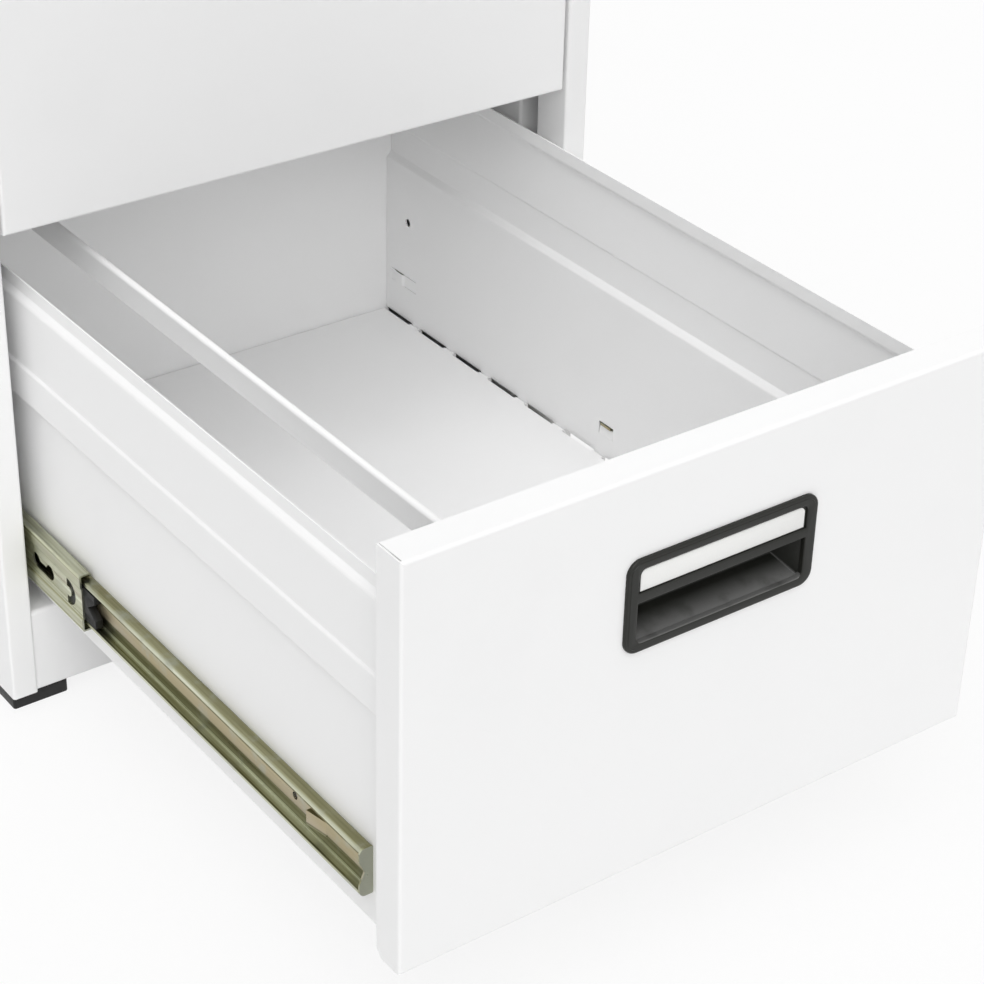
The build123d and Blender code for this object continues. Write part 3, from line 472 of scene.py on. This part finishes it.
def make_grain_group():
    """Noise with its own scale each way, for grain, streaks and clouds."""
    group, inputs, outputs = new_group("Grain", [
        ("Scale", "NodeSocketFloat", 100.0),
        ("Detail", "NodeSocketFloat", 2.0),
        ("Stretch", "NodeSocketVector", (1.0, 1.0, 1.0)),
    ], "Value", "NodeSocketFloat")
    coordinates = group.nodes.new("ShaderNodeTexCoord")
    mapping = group.nodes.new("ShaderNodeMapping")
    noise = group.nodes.new("ShaderNodeTexNoise")
    links = group.links
    links.new(coordinates.outputs["Object"], mapping.inputs["Vector"])
    links.new(inputs.outputs["Stretch"], mapping.inputs["Scale"])
    links.new(mapping.outputs["Vector"], noise.inputs["Vector"])
    links.new(inputs.outputs["Scale"], noise.inputs["Scale"])
    links.new(inputs.outputs["Detail"], noise.inputs["Detail"])
    links.new(noise.outputs["Fac"], outputs.inputs["Value"])


def make_uneven_group():
    """A colour that drifts a little lighter and darker over the surface."""
    group, inputs, outputs = new_group("Uneven", [
        ("Color", "NodeSocketColor", (0.8, 0.8, 0.8, 1.0)),
        ("Amount", "NodeSocketFloat", 0.02),
        ("Scale", "NodeSocketFloat", 6.0),
    ], "Color", "NodeSocketColor")
    clouds = group.nodes.new("ShaderNodeGroup")
    clouds.node_tree = bpy.data.node_groups["Grain"]
    clouds.inputs["Detail"].default_value = 3.0
    centre = group.nodes.new("ShaderNodeMath")
    centre.operation = "SUBTRACT"
    centre.inputs[1].default_value = 0.5
    scaled = group.nodes.new("ShaderNodeMath")
    scaled.operation = "MULTIPLY_ADD"
    scaled.inputs[2].default_value = 1.0
    tint = group.nodes.new("ShaderNodeVectorMath")
    tint.operation = "SCALE"
    links = group.links
    links.new(inputs.outputs["Scale"], clouds.inputs["Scale"])
    links.new(clouds.outputs["Value"], centre.inputs[0])
    links.new(centre.outputs[0], scaled.inputs[0])
    links.new(inputs.outputs["Amount"], scaled.inputs[1])
    links.new(inputs.outputs["Color"], tint.inputs[0])
    links.new(scaled.outputs[0], tint.inputs["Scale"])
    links.new(tint.outputs["Vector"], outputs.inputs["Color"])


def make_rubbed_group():
    """A mask of faint rubbed patches that follow the hand and the packing."""
    group, inputs, outputs = new_group("Rubbed", [
        ("Scale", "NodeSocketFloat", 14.0),
        ("Cover", "NodeSocketFloat", 0.5),
    ], "Mask", "NodeSocketFloat")
    patches = group.nodes.new("ShaderNodeGroup")
    patches.node_tree = bpy.data.node_groups["Grain"]
    patches.inputs["Detail"].default_value = 5.0
    threshold = group.nodes.new("ShaderNodeMapRange")
    threshold.interpolation_type = "SMOOTHSTEP"
    threshold.inputs["From Max"].default_value = 0.8
    links = group.links
    links.new(inputs.outputs["Scale"], patches.inputs["Scale"])
    links.new(patches.outputs["Value"], threshold.inputs["Value"])
    links.new(inputs.outputs["Cover"], threshold.inputs["From Min"])
    links.new(threshold.outputs["Result"], outputs.inputs["Mask"])


class Finish:
    """A material and short ways to add nodes to it."""

    def __init__(self, name):
        self.material = bpy.data.materials.new(name)
        self.material.use_nodes = True
        self.nodes = self.material.node_tree.nodes
        self.links = self.material.node_tree.links
        self.shader = self.nodes["Principled BSDF"]

    def group(self, name, **values):
        """Place a node group with its own values."""
        node = self.nodes.new("ShaderNodeGroup")
        node.node_tree = bpy.data.node_groups[name]
        for label, value in values.items():
            node.inputs[label].default_value = value
        return node.outputs[0]

    def spread(self, value, low, high):
        """Spread a noise value between two limits."""
        return self.share(value, 0.25, 0.75, low, high)

    def ramp(self, value, stops):
        """Turn a value into a colour."""
        node = self.nodes.new("ShaderNodeValToRGB")
        elements = node.color_ramp.elements
        for position, _ in stops[2:]:
            elements.new(position)
        for element, (position, color) in zip(elements, sorted(stops)):
            element.position = position
            element.color = (*color, 1.0)
        self.links.new(value, node.inputs["Fac"])
        return node.outputs["Color"]

    def calculate(self, operation, first, second):
        """Work out a value from a socket and from a second socket or number."""
        node = self.nodes.new("ShaderNodeMath")
        node.operation = operation
        self.links.new(first, node.inputs[0])
        if isinstance(second, bpy.types.NodeSocket):
            self.links.new(second, node.inputs[1])
        else:
            node.inputs[1].default_value = second
        return node.outputs[0]

    def height_over(self, level):
        """How far a point of the surface lies over a level."""
        coordinates = self.nodes.new("ShaderNodeTexCoord")
        split = self.nodes.new("ShaderNodeSeparateXYZ")
        self.links.new(coordinates.outputs["Object"], split.inputs["Vector"])
        return self.calculate("SUBTRACT", split.outputs["Z"], level)

    def share(self, value, start, stop, at_start=0.0, at_stop=1.0):
        """Map a value from its range to another range."""
        node = self.nodes.new("ShaderNodeMapRange")
        for label, limit in (("From Min", start), ("From Max", stop),
                             ("To Min", at_start), ("To Max", at_stop)):
            node.inputs[label].default_value = limit
        self.links.new(value, node.inputs["Value"])
        return node.outputs["Result"]

    def slide_height(self, reach):
        """Height from the middle line of each slide, from 0 there to 1 at its reach."""
        boxes = [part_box(f"{which}_left_drawer_member") for which in DRAWERS]
        lower, upper = ((low.z + high.z) / 2 for low, high in boxes)
        distance = self.calculate("PINGPONG", self.height_over(lower), (upper - lower) / 2)
        return self.share(distance, 0.0, reach)

    def facing(self, direction):
        """1 on the surfaces that look in a direction, else 0."""
        geometry = self.nodes.new("ShaderNodeNewGeometry")
        along = self.nodes.new("ShaderNodeVectorMath")
        along.operation = "DOT_PRODUCT"
        along.inputs[1].default_value = direction
        self.links.new(geometry.outputs["True Normal"], along.inputs[0])
        return self.calculate("GREATER_THAN", along.outputs["Value"], 0.6)

    def tub_floor_light_mask(self, low, high):
        """Mask of the painted light on each finger tub's floor: 1 at its low front, falling to
        0 at its back, where the bar's painted shadow lies.
        """
        lower, upper = (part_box(f"{which}_handle")[0].z for which in DRAWERS)
        height = self.calculate("FLOORED_MODULO", self.height_over(lower), upper - lower)
        near = self.share(height, low, high, 1.0, 0.0)
        return self.calculate("MULTIPLY", near, self.facing((0.0, 0.0, 1.0)))

    def multiply(self, first, second):
        """Darken one colour by another."""
        node = self.nodes.new("ShaderNodeMix")
        node.data_type = "RGBA"
        node.blend_type = "MULTIPLY"
        node.inputs["Factor"].default_value = 1.0
        for index, color in zip(COLORS_IN, (first, second)):
            self.links.new(color, node.inputs[index])
        return node.outputs[COLOR_OUT]

    def mix(self, factor, first, second):
        """Mix two colours, each a socket or a plain colour."""
        node = self.nodes.new("ShaderNodeMix")
        node.data_type = "RGBA"
        self.links.new(factor, node.inputs["Factor"])
        for index, color in zip(COLORS_IN, (first, second)):
            if isinstance(color, bpy.types.NodeSocket):
                self.links.new(color, node.inputs[index])
            else:
                node.inputs[index].default_value = (*color, 1.0)
        return node.outputs[COLOR_OUT]

    def feed(self, value, label):
        """Feed a varying value into the shader."""
        self.links.new(value, self.shader.inputs[label])

    def bump(self, height, depth, strength=1.0):
        """Raise the surface by a height value."""
        node = self.nodes.new("ShaderNodeBump")
        node.inputs["Strength"].default_value = strength
        node.inputs["Distance"].default_value = depth
        self.links.new(height, node.inputs["Height"])
        self.links.new(node.outputs["Normal"], self.shader.inputs["Normal"])


def make_paint(settings):
    """Satin white powder coat with fine orange peel."""
    paint = Finish("White powder coat")
    color = paint.group(
        "Uneven", Color=(*settings.color, 1.0), Amount=settings.unevenness, Scale=5.0)
    rubbed = paint.group("Rubbed", Scale=9.0, Cover=0.52)
    dulled = tuple(settings.rubbed * value for value in settings.color)
    paint.feed(paint.mix(rubbed, color, dulled), "Base Color")
    gloss = paint.group("Grain", Scale=45.0, Detail=4.0)
    paint.feed(paint.spread(gloss, settings.gloss_low, settings.gloss_high), "Roughness")
    peel = paint.group("Grain", Scale=620.0, Detail=1.5)
    paint.bump(peel, settings.grain_depth, 0.6)
    paint.shader.inputs["Specular IOR Level"].default_value = 0.45


def make_zinc(settings, name, ridge):
    """Yellow zinc plating, drawn along the slides, with green and rose bloom, painted shade in
    the channels and along the folds, and a painted highlight on the lips.
    """
    zinc = Finish(name)
    pale, olive, rose, tan, channel_shade, fold_shade = (
        tuple(color) for color in (
            settings.pale, settings.olive, settings.rose,
            settings.tan, settings.channel, settings.painted_fold_shade))
    # bright is a painted highlight on the slides' lips; plain leaves the plating as it is, and
    # none clears the ridge mask
    plain, bright, none = (1.0, 1.0, 1.0), (1.15, 1.15, 1.12), (0.0, 0.0, 0.0)
    streaks = zinc.group("Grain", Scale=1.0, Detail=3.0, Stretch=(420.0, 9.0, 420.0))
    between = tuple(0.5 * (a + b) for a, b in zip(olive, pale))
    body = zinc.ramp(streaks, [(0.28, olive), (0.72, pale), (0.50, between)])
    bloom = zinc.group("Grain", Scale=1.0, Detail=2.0, Stretch=(55.0, 7.0, 130.0))
    bloomed = zinc.mix(zinc.spread(bloom, -0.7, 0.5), body, rose)
    if ridge:
        height = zinc.slide_height(DRAWER_MEMBER_HALF)
        patches = zinc.group("Grain", Scale=1.0, Detail=2.0, Stretch=(9.0, 5.0, 9.0))
        warm = zinc.mix(zinc.spread(patches, -0.6, 1.6), rose, tan)
        near = zinc.ramp(height, [(0.0, plain), (1.0, none), (0.25, plain), (0.3, none)])
        bloomed = zinc.mix(near, bloomed, warm)
        # Painted shade darkens the channels and the folds, and a painted highlight brightens
        # the lower lip
        shade = zinc.ramp(height, [
            (0.0, plain), (1.0, channel_shade), (0.24, plain), (0.29, fold_shade), (0.36, channel_shade),
            (0.74, channel_shade), (0.80, fold_shade), (0.84, bright), (0.95, plain)])
    else:
        # Painted shade along two folds, and a painted highlight on the lower lip of the middle
        # members
        shade = zinc.ramp(zinc.slide_height(MIDDLE_MEMBER_HALF), [
            (0.0, plain), (1.0, plain), (0.5, plain), (0.54, channel_shade), (0.58, plain),
            (0.84, plain), (0.88, channel_shade), (0.93, bright)])
    shaded = zinc.multiply(bloomed, shade)
    stain = zinc.group("Rubbed", Scale=60.0, Cover=0.5)
    stained = tuple(settings.stain * value for value in pale)
    shaded = zinc.mix(zinc.facing((0.0, -1.0, 0.0)), shaded, stained)
    zinc.feed(zinc.mix(stain, shaded, stained), "Base Color")
    zinc.shader.inputs["Metallic"].default_value = 1.0
    rough = settings.roughness
    zinc.feed(zinc.spread(streaks, 0.8 * rough, 1.35 * rough), "Roughness")
    drawn = zinc.group("Grain", Scale=1.0, Detail=4.0, Stretch=(1800.0, 30.0, 1800.0))
    zinc.bump(drawn, settings.drawn_depth, 0.5)


def make_plastic(name, color, rough, depth, tub=None):
    """Moulded plastic with a spark texture, rubbed patches and, if given, painted light on a
    tub's floor.
    """
    plastic = Finish(name)
    tone = plastic.group("Uneven", Color=(*color, 1.0), Amount=0.12, Scale=30.0)
    # The tub's floor takes painted light at its low front, fading into the painted shadow of
    # the bar at its back
    if tub:
        tone = plastic.mix(plastic.tub_floor_light_mask(TUB_LOW, TUB_HIGH), tone, tub)
    rubbed = plastic.group("Rubbed", Scale=38.0, Cover=0.5)
    lighter = tuple(1.6 * value for value in color)
    plastic.feed(plastic.mix(rubbed, tone, lighter), "Base Color")
    gloss = plastic.group("Grain", Scale=260.0, Detail=3.0)
    plastic.feed(plastic.spread(gloss, 0.85 * rough, 1.15 * rough), "Roughness")
    spark = plastic.group("Grain", Scale=2200.0, Detail=2.0)
    plastic.bump(spark, depth, 0.8)
    plastic.shader.inputs["Specular IOR Level"].default_value = 0.32


def make_card(settings):
    """Plain white card with faint fibres."""
    card = Finish("Card")
    color = card.group("Uneven", Color=(*settings.color, 1.0), Amount=0.05, Scale=900.0)
    card.feed(color, "Base Color")
    fibres = card.group("Grain", Scale=1.0, Detail=4.0, Stretch=(900.0, 900.0, 2600.0))
    card.bump(fibres, settings.fibre_depth, 0.6)
    card.shader.inputs["Roughness"].default_value = settings.roughness
    card.shader.inputs["Specular IOR Level"].default_value = 0.3


class CABINET_OT_finishes(Operator):
    """Make the finishes and give each sheet-metal part its own"""
    bl_idname = "cabinet.finishes"
    bl_label = "Finishes"

    def execute(self, context):
        scene = context.scene
        plastic = scene.cabinet_plastic
        make_grain_group()
        make_uneven_group()
        make_rubbed_group()
        make_paint(scene.cabinet_paint)
        make_zinc(scene.cabinet_slides, "Yellow zinc", False)
        make_zinc(scene.cabinet_slides, "Yellow zinc with a rose ridge", True)
        make_plastic(
            "Handle plastic", plastic.handle_color, plastic.handle_roughness,
            plastic.texture_depth, tuple(plastic.tub_floor_light))
        make_plastic(
            "Black plastic", plastic.black_color, plastic.black_roughness,
            plastic.texture_depth)
        make_card(scene.cabinet_card)
        finishes = {
            "white_paint": "White powder coat",
            "yellow_zinc": "Yellow zinc",
            "handle_plastic": "Handle plastic",
            "black_plastic": "Black plastic",
            "card": "Card",
        }
        for part in frame["record"]["subparts"]:
            node = frame["nodes"][part["node"]]
            finish = finishes[part["material_slot"]]
            if part["node"].endswith("drawer_member"):
                finish = "Yellow zinc with a rose ridge"
            for material_slot in node.material_slots:
                material_slot.material = bpy.data.materials[finish]
        return {"FINISHED"}


# Handles

def handle_levels(settings, low, high):
    """Heights of the recess, bar and window of a handle."""
    window_high = high.z - settings.border
    window_low = window_high - settings.window
    return low.z + settings.border, window_low - settings.bar, window_low, window_high


def cut_opening(body, name, half, y, z, corner, round_low, round_high):
    """Cut an opening through the rim, with its corners rounded."""
    opening = add_block(name, (-half, y[0], z[0]), (half, y[1], z[1]))
    level = (z[0] + z[1]) / 2

    def is_corner(edge):
        high = middle(edge).z > level
        return runs_along(edge, 1) and (round_high if high else round_low)

    round_edges(opening, is_corner, corner, 6)
    combine(body, opening, "DIFFERENCE")


def make_tub_space(settings, low, high, levels):
    """The space inside the finger tub: its floor rises and its ends lean in to the back."""
    recess_low, _, _, window_high = levels
    face = low.y + settings.proud
    half = high.x - settings.side_border
    front, back = face + settings.bar_back, high.y - settings.wall
    reach = half + settings.undercut
    space = add_block(
        "tub_space",
        (-reach, front, recess_low - settings.lip),
        (reach, back, window_high),
    )
    bpy.ops.object.mode_set(mode="EDIT")
    pick(space, "EDGE", lambda edge: runs_along(edge, 0)
         and middle(edge).y > back - NEAR and middle(edge).z < recess_low)
    bpy.ops.transform.translate(value=(0.0, 0.0, settings.rise))
    pick(space, "FACE", lambda part: middle(part).y > back - NEAR)
    bpy.ops.transform.resize(
        value=((half - settings.slant) / half, 1.0, 1.0),
        center_override=(0.0, back, window_high))
    bpy.ops.object.mode_set(mode="OBJECT")

    def is_crease(edge):
        return middle(edge).z < recess_low + settings.rise and middle(edge).y > front + NEAR

    round_edges(space, is_crease, settings.crease)
    return space


def make_handle(settings, name, low, high):
    """Rim, label window and pull bar in one moulding, with a finger tub behind them."""
    face = low.y + settings.proud
    half = high.x - settings.side_border
    levels = handle_levels(settings, low, high)
    recess_low, bar_low, window_low, window_high = levels
    border = low.y + settings.line_height
    rim = add_block(name, (low.x, border, low.z), (high.x, face, high.z))
    round_edges(rim, lambda edge: runs_along(edge, 1), settings.corner, 10)
    bpy.ops.object.mode_set(mode="EDIT")
    pick(rim, "FACE", lambda part: part.normal.y < -0.9)
    bpy.ops.mesh.inset(thickness=settings.line_inset)
    bpy.ops.mesh.inset(thickness=settings.line_width, depth=settings.line_height)
    bpy.ops.object.mode_set(mode="OBJECT")
    tub = add_block(
        "tub",
        (-half - settings.wall, face - settings.edge / 2, recess_low - settings.wall),
        (half + settings.wall, high.y, window_high + settings.wall),
    )
    round_edges(tub, lambda edge: middle(edge).y > high.y - NEAR, settings.tub_edge, 2)
    combine(rim, tub, "UNION")
    combine(rim, make_tub_space(settings, low, high, levels), "DIFFERENCE")
    through = (low.y - OVERCUT, face + settings.bar_back + 2 * NEAR)
    cut_opening(rim, "recess", half, through, (recess_low, bar_low),
                settings.inner_corner, True, False)
    shallow = (low.y - OVERCUT, low.y + settings.window_depth)
    cut_opening(rim, "window", half, shallow, (window_low, window_high),
                settings.inner_corner, False, True)
    merge_doubles(rim)
    bpy.ops.object.mode_set(mode="OBJECT")

    def is_rim_edge(edge):
        angle = edge.calc_face_angle(0.0)
        depth = max(vertex.co.y for vertex in edge.verts)
        place = middle(edge)
        inside = abs(place.x) < half + NEAR
        if inside and recess_low - NEAR < place.z < window_high + NEAR:
            return depth < low.y + MERGE and angle > 0.5
        return depth < border + MERGE and angle > 1.2

    round_edges(rim, is_rim_edge, settings.edge)
    tidy(rim)
    return rim


class CABINET_OT_handles(Operator):
    """Make the moulded handles of both drawers"""
    bl_idname = "cabinet.handles"
    bl_label = "Handles"

    def execute(self, context):
        settings = context.scene.cabinet_handle
        low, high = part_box("lower_handle")
        first = make_handle(settings, "lower_moulded_handle", low, high)
        dress(first, "Handle plastic", "handle_plastic", "lower_drawer", "lower_handle")
        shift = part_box("upper_handle")[0] - low
        second = copy_piece(first, "upper_moulded_handle", shift)
        dress(second, "Handle plastic", "handle_plastic", "upper_drawer", "upper_handle")
        return {"FINISHED"}


class CABINET_OT_label_cards(Operator):
    """Make the blank cards in the label windows"""
    bl_idname = "cabinet.label_cards"
    bl_label = "Label Cards"

    def execute(self, context):
        settings = context.scene.cabinet_card
        corner = context.scene.cabinet_handle.inner_corner
        low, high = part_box("lower_label_card")
        card = add_block("lower_blank_card", low, high)
        level = (low.z + high.z) / 2
        round_edges(
            card, lambda edge: runs_along(edge, 1) and middle(edge).z > level, corner, 5)
        round_edges(
            card, lambda edge: middle(edge).y < low.y + NEAR / 2, settings.edge, 2)
        tidy(card)
        dress(card, "Card", "card", "lower_drawer", "lower_label_card")
        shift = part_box("upper_label_card")[0] - low
        other = copy_piece(card, "upper_blank_card", shift)
        dress(other, "Card", "card", "upper_drawer", "upper_label_card")
        return {"FINISHED"}


# Feet and bumpers

# How far a foot's ribs stay inside the pad's faces
RIB_INSET = 0.001


def make_foot(settings, name, low, high):
    """A square pad, hollow from below, with ribs that cross inside it."""
    top = low.z + settings.height
    pad = add_block(name, low, (high.x, high.y, top))
    hollow = add_block(
        "hollow",
        (low.x + settings.wall, low.y + settings.wall, low.z - OVERCUT),
        (high.x - settings.wall, high.y - settings.wall, top - settings.wall),
    )
    combine(pad, hollow, "DIFFERENCE")
    span = high - low
    centre = (low + high) / 2

    def is_corner(edge):
        return runs_along(edge, 2) and abs(middle(edge).x - centre.x) > span.x / 2 - NEAR

    def is_lower_edge(edge):
        return middle(edge).z < low.z + MERGE and edge.calc_face_angle(0.0) > 0.5

    round_edges(pad, is_corner, settings.corner, 5)
    round_edges(pad, is_lower_edge, settings.edge, 2)
    inset = Vector((RIB_INSET, RIB_INSET, 0.0))
    for index in range(settings.ribs):
        place = (index + 1) / (settings.ribs + 1)
        for axis in (0, 1):
            start = low + inset + Vector((0.0, 0.0, RIB_INSET))
            end = Vector((high.x, high.y, top - settings.wall / 2)) - inset
            start[axis] = low[axis] + place * span[axis] - settings.wall / 2
            end[axis] = start[axis] + settings.wall
            combine(pad, add_block("rib", start, end), "UNION")
    tidy(pad)
    return pad


def add_peg(settings, pad, place, height):
    """Add the peg that presses into the sheet over a foot."""
    bpy.ops.object.select_all(action="DESELECT")
    bpy.ops.mesh.primitive_cylinder_add(
        vertices=32, radius=settings.peg_radius, depth=height, location=place)
    peg = settle("peg")
    top = place[2] + height / 2
    round_edges(peg, lambda edge: middle(edge).z > top - NEAR, settings.peg_edge, 2)
    combine(pad, peg, "UNION")
    tidy(pad)


class CABINET_OT_feet(Operator):
    """Make the four plastic feet"""
    bl_idname = "cabinet.feet"
    bl_label = "Feet"

    def execute(self, context):
        settings = context.scene.cabinet_foot
        low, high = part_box("front_left_foot")
        pad = make_foot(settings, "foot_pad", low, high)
        for end, outwards in (("front", settings.front_peg), ("rear", settings.rear_peg)):
            for side, sign in (("left", -1), ("right", 1)):
                node = f"{end}_{side}_foot"
                start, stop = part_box(node)
                foot = copy_piece(pad, f"{node}_moulded", start - low)
                x = (start.x + stop.x) / 2 + sign * outwards
                y = (start.y + stop.y) / 2
                reach = stop.z - start.z - settings.height + settings.wall / 2
                add_peg(settings, foot, (x, y, stop.z - reach / 2), reach)
                dress(foot, "Black plastic", "black_plastic", "cabinet", node)
        bpy.data.objects.remove(pad)
        return {"FINISHED"}


class CABINET_OT_end_bumpers(Operator):
    """Make the plastic bumpers in the front ends of the slides' middle members"""
    bl_idname = "cabinet.end_bumpers"
    bl_label = "End Bumpers"

    def execute(self, context):
        settings = context.scene.cabinet_bumper
        half = settings.notch_half
        low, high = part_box("lower_end_bumpers")
        level = (low.z + high.z) / 2
        mouth = high.y - settings.inside
        right = add_block("bumper", (high.x - settings.thickness, low.y, low.z), high)
        bpy.ops.object.mode_set(mode="EDIT")
        cuts = [((0, 0, level + shift), (0, 0, 1)) for shift in (0.0, -half, half)]
        for place, normal in (*cuts, ((0, mouth, 0), (0, 1, 0))):
            bpy.ops.mesh.select_all(action="SELECT")
            bpy.ops.mesh.bisect(plane_co=place, plane_no=normal)
        pick(right, "EDGE", lambda edge: runs_along(edge, 0)
             and middle(edge).y < low.y + NEAR and abs(middle(edge).z - level) < NEAR)
        bpy.ops.transform.translate(value=(0.0, settings.notch, 0.0))
        pick(right, "FACE", lambda part: part.normal.x > 0.9
             and middle(part).y < mouth and abs(middle(part).z - level) > half)
        bpy.ops.mesh.inset(thickness=settings.panel_inset)
        bpy.ops.transform.translate(value=(-settings.panel_depth, 0.0, 0.0))
        bpy.ops.object.mode_set(mode="OBJECT")
        round_edges(right, lambda edge: edge.calc_face_angle(0.0) > 0.6, settings.edge, 2)
        tidy(right)
        for which in DRAWERS:
            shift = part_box(f"{which}_end_bumpers")[0] - low
            pair = copy_piece(right, f"{which}_moulded_bumpers", shift)
            left = mirror_piece(pair, "left_bumper")
            left.select_set(True)
            pair.select_set(True)
            bpy.context.view_layer.objects.active = pair
            bpy.ops.object.join()
            dress(pair, "Black plastic", "black_plastic",
                  f"{which}_intermediates", f"{which}_end_bumpers")
        bpy.data.objects.remove(right)
        return {"FINISHED"}


# Studio

def white_for_views(tree):
    """A value that is 1 for what the camera sees, directly or in a reflection, and else 0."""
    path = tree.nodes.new("ShaderNodeLightPath")
    value = path.outputs["Is Camera Ray"]
    for label in ("Is Glossy Ray", "Is Transmission Ray"):
        larger = tree.nodes.new("ShaderNodeMath")
        larger.operation = "MAXIMUM"
        tree.links.new(value, larger.inputs[0])
        tree.links.new(path.outputs[label], larger.inputs[1])
        value = larger.outputs[0]
    return value


def make_floor(settings):
    """A wide pale floor that shows white, with the object's shadow on it."""
    bpy.ops.object.select_all(action="DESELECT")
    bpy.ops.mesh.primitive_grid_add(x_subdivisions=8, y_subdivisions=8, size=24.0)
    floor = settle("floor")
    material = bpy.data.materials.new("Pale floor")
    material.use_nodes = True
    tree = material.node_tree
    output = tree.nodes["Material Output"]
    tree.nodes.remove(tree.nodes["Principled BSDF"])
    plain = tree.nodes.new("ShaderNodeBsdfDiffuse")
    plain.inputs["Color"].default_value = (*settings.floor_color, 1.0)
    white = tree.nodes.new("ShaderNodeEmission")
    shaded = tree.nodes.new("ShaderNodeMixShader")
    shaded.inputs["Fac"].default_value = settings.floor_shade
    seen = tree.nodes.new("ShaderNodeMixShader")
    tree.links.new(white.outputs[0], shaded.inputs[1])
    tree.links.new(plain.outputs[0], shaded.inputs[2])
    tree.links.new(white_for_views(tree), seen.inputs["Fac"])
    tree.links.new(plain.outputs[0], seen.inputs[1])
    tree.links.new(shaded.outputs[0], seen.inputs[2])
    tree.links.new(seen.outputs[0], output.inputs["Surface"])
    floor.data.materials.append(material)


def make_sky(settings):
    """Soft light from all round, brighter overhead, that shows white."""
    world = bpy.data.worlds.new("Studio")
    bpy.context.scene.world = world
    world.use_nodes = True
    tree = world.node_tree
    background = tree.nodes["Background"]
    background.inputs["Color"].default_value = (1.0, 1.0, 1.0, 1.0)
    coordinates = tree.nodes.new("ShaderNodeTexCoord")
    split = tree.nodes.new("ShaderNodeSeparateXYZ")
    height = tree.nodes.new("ShaderNodeMapRange")
    height.inputs["To Min"].default_value = settings.sky_low
    height.inputs["To Max"].default_value = settings.sky_high
    tree.links.new(coordinates.outputs["Generated"], split.inputs["Vector"])
    tree.links.new(split.outputs["Z"], height.inputs["Value"])
    strength = tree.nodes.new("ShaderNodeMix")
    light, view = (strength.inputs[index] for index in VALUES_IN)
    view.default_value = 1.0
    tree.links.new(height.outputs["Result"], light)
    tree.links.new(white_for_views(tree), strength.inputs["Factor"])
    tree.links.new(strength.outputs[VALUE_OUT], background.inputs["Strength"])


def make_lamp(name, direction, strength, spread):
    """A broad soft lamp far away in a direction."""
    lamp = bpy.data.lights.new(name, "SUN")
    lamp.energy = strength
    lamp.angle = spread
    holder = bpy.data.objects.new(name, lamp)
    bpy.context.scene.collection.objects.link(holder)
    holder.rotation_euler = Vector(direction).to_track_quat("Z", "Y").to_euler()


def make_camera(settings):
    """The camera, at the photograph's place."""
    lens = bpy.data.cameras.new("Camera")
    lens.lens = settings.lens
    lens.sensor_width = 36.0
    lens.clip_start = 0.05
    lens.clip_end = 60.0
    camera = bpy.data.objects.new("Camera", lens)
    bpy.context.scene.collection.objects.link(camera)
    camera.matrix_world = (
        Matrix.Translation(Vector(settings.camera_place))
        @ Matrix.Rotation(-settings.turn, 4, "Z")
        @ Matrix.Rotation(math.pi / 2 - settings.tilt, 4, "X")
        @ Matrix.Rotation(settings.roll, 4, "Z")
    )
    bpy.context.scene.camera = camera


class CABINET_OT_stage(Operator):
    """Set up the floor, the light and the camera"""
    bl_idname = "cabinet.stage"
    bl_label = "Stage"

    def execute(self, context):
        settings = context.scene.cabinet_stage
        context.scene.view_settings.view_transform = "Standard"
        make_floor(settings)
        make_sky(settings)
        make_lamp("Overhead lamp", settings.overhead_place,
                  settings.overhead_lamp, settings.overhead_spread)
        make_lamp("Front lamp", settings.front_place,
                  settings.front_lamp, settings.front_spread)
        make_camera(settings)
        return {"FINISHED"}


class CABINET_PT_panel(Panel):
    """Lists the parts of the cabinet that can be made"""
    bl_idname = "CABINET_PT_panel"
    bl_label = "Filing Cabinet"
    bl_space_type = "VIEW_3D"
    bl_region_type = "UI"
    bl_category = "Cabinet"

    def draw(self, context):
        scene = context.scene
        for operator, attributes in PANEL_ROWS:
            box = self.layout.box()
            box.operator(operator.bl_idname)
            for attribute in attributes:
                settings = getattr(scene, attribute)
                for name in settings.__annotations__:
                    box.prop(settings, name)


SETTINGS = {
    "cabinet_paint": PaintSettings,
    "cabinet_slides": SlideSettings,
    "cabinet_plastic": PlasticSettings,
    "cabinet_card": CardSettings,
    "cabinet_handle": HandleSettings,
    "cabinet_foot": FootSettings,
    "cabinet_bumper": BumperSettings,
    "cabinet_stage": StageSettings,
}
PANEL_ROWS = (
    (CABINET_OT_stage, ("cabinet_stage",)),
    (CABINET_OT_finishes, ("cabinet_paint", "cabinet_slides", "cabinet_plastic")),
    (CABINET_OT_handles, ("cabinet_handle",)),
    (CABINET_OT_label_cards, ("cabinet_card",)),
    (CABINET_OT_feet, ("cabinet_foot",)),
    (CABINET_OT_end_bumpers, ("cabinet_bumper",)),
)
CLASSES = (*SETTINGS.values(), *(operator for operator, _ in PANEL_ROWS), CABINET_PT_panel)


def register():
    for each in CLASSES:
        bpy.utils.register_class(each)
    for name, settings in SETTINGS.items():
        setattr(bpy.types.Scene, name, PointerProperty(type=settings))


def unregister():
    for name in SETTINGS:
        delattr(bpy.types.Scene, name)
    for each in reversed(CLASSES):
        bpy.utils.unregister_class(each)


def main():
    """Make everything, in order."""
    register()
    bpy.ops.cabinet.stage()
    bpy.ops.cabinet.finishes()
    bpy.ops.cabinet.handles()
    bpy.ops.cabinet.label_cards()
    bpy.ops.cabinet.feet()
    bpy.ops.cabinet.end_bumpers()


if __name__ == "__main__":
    main()
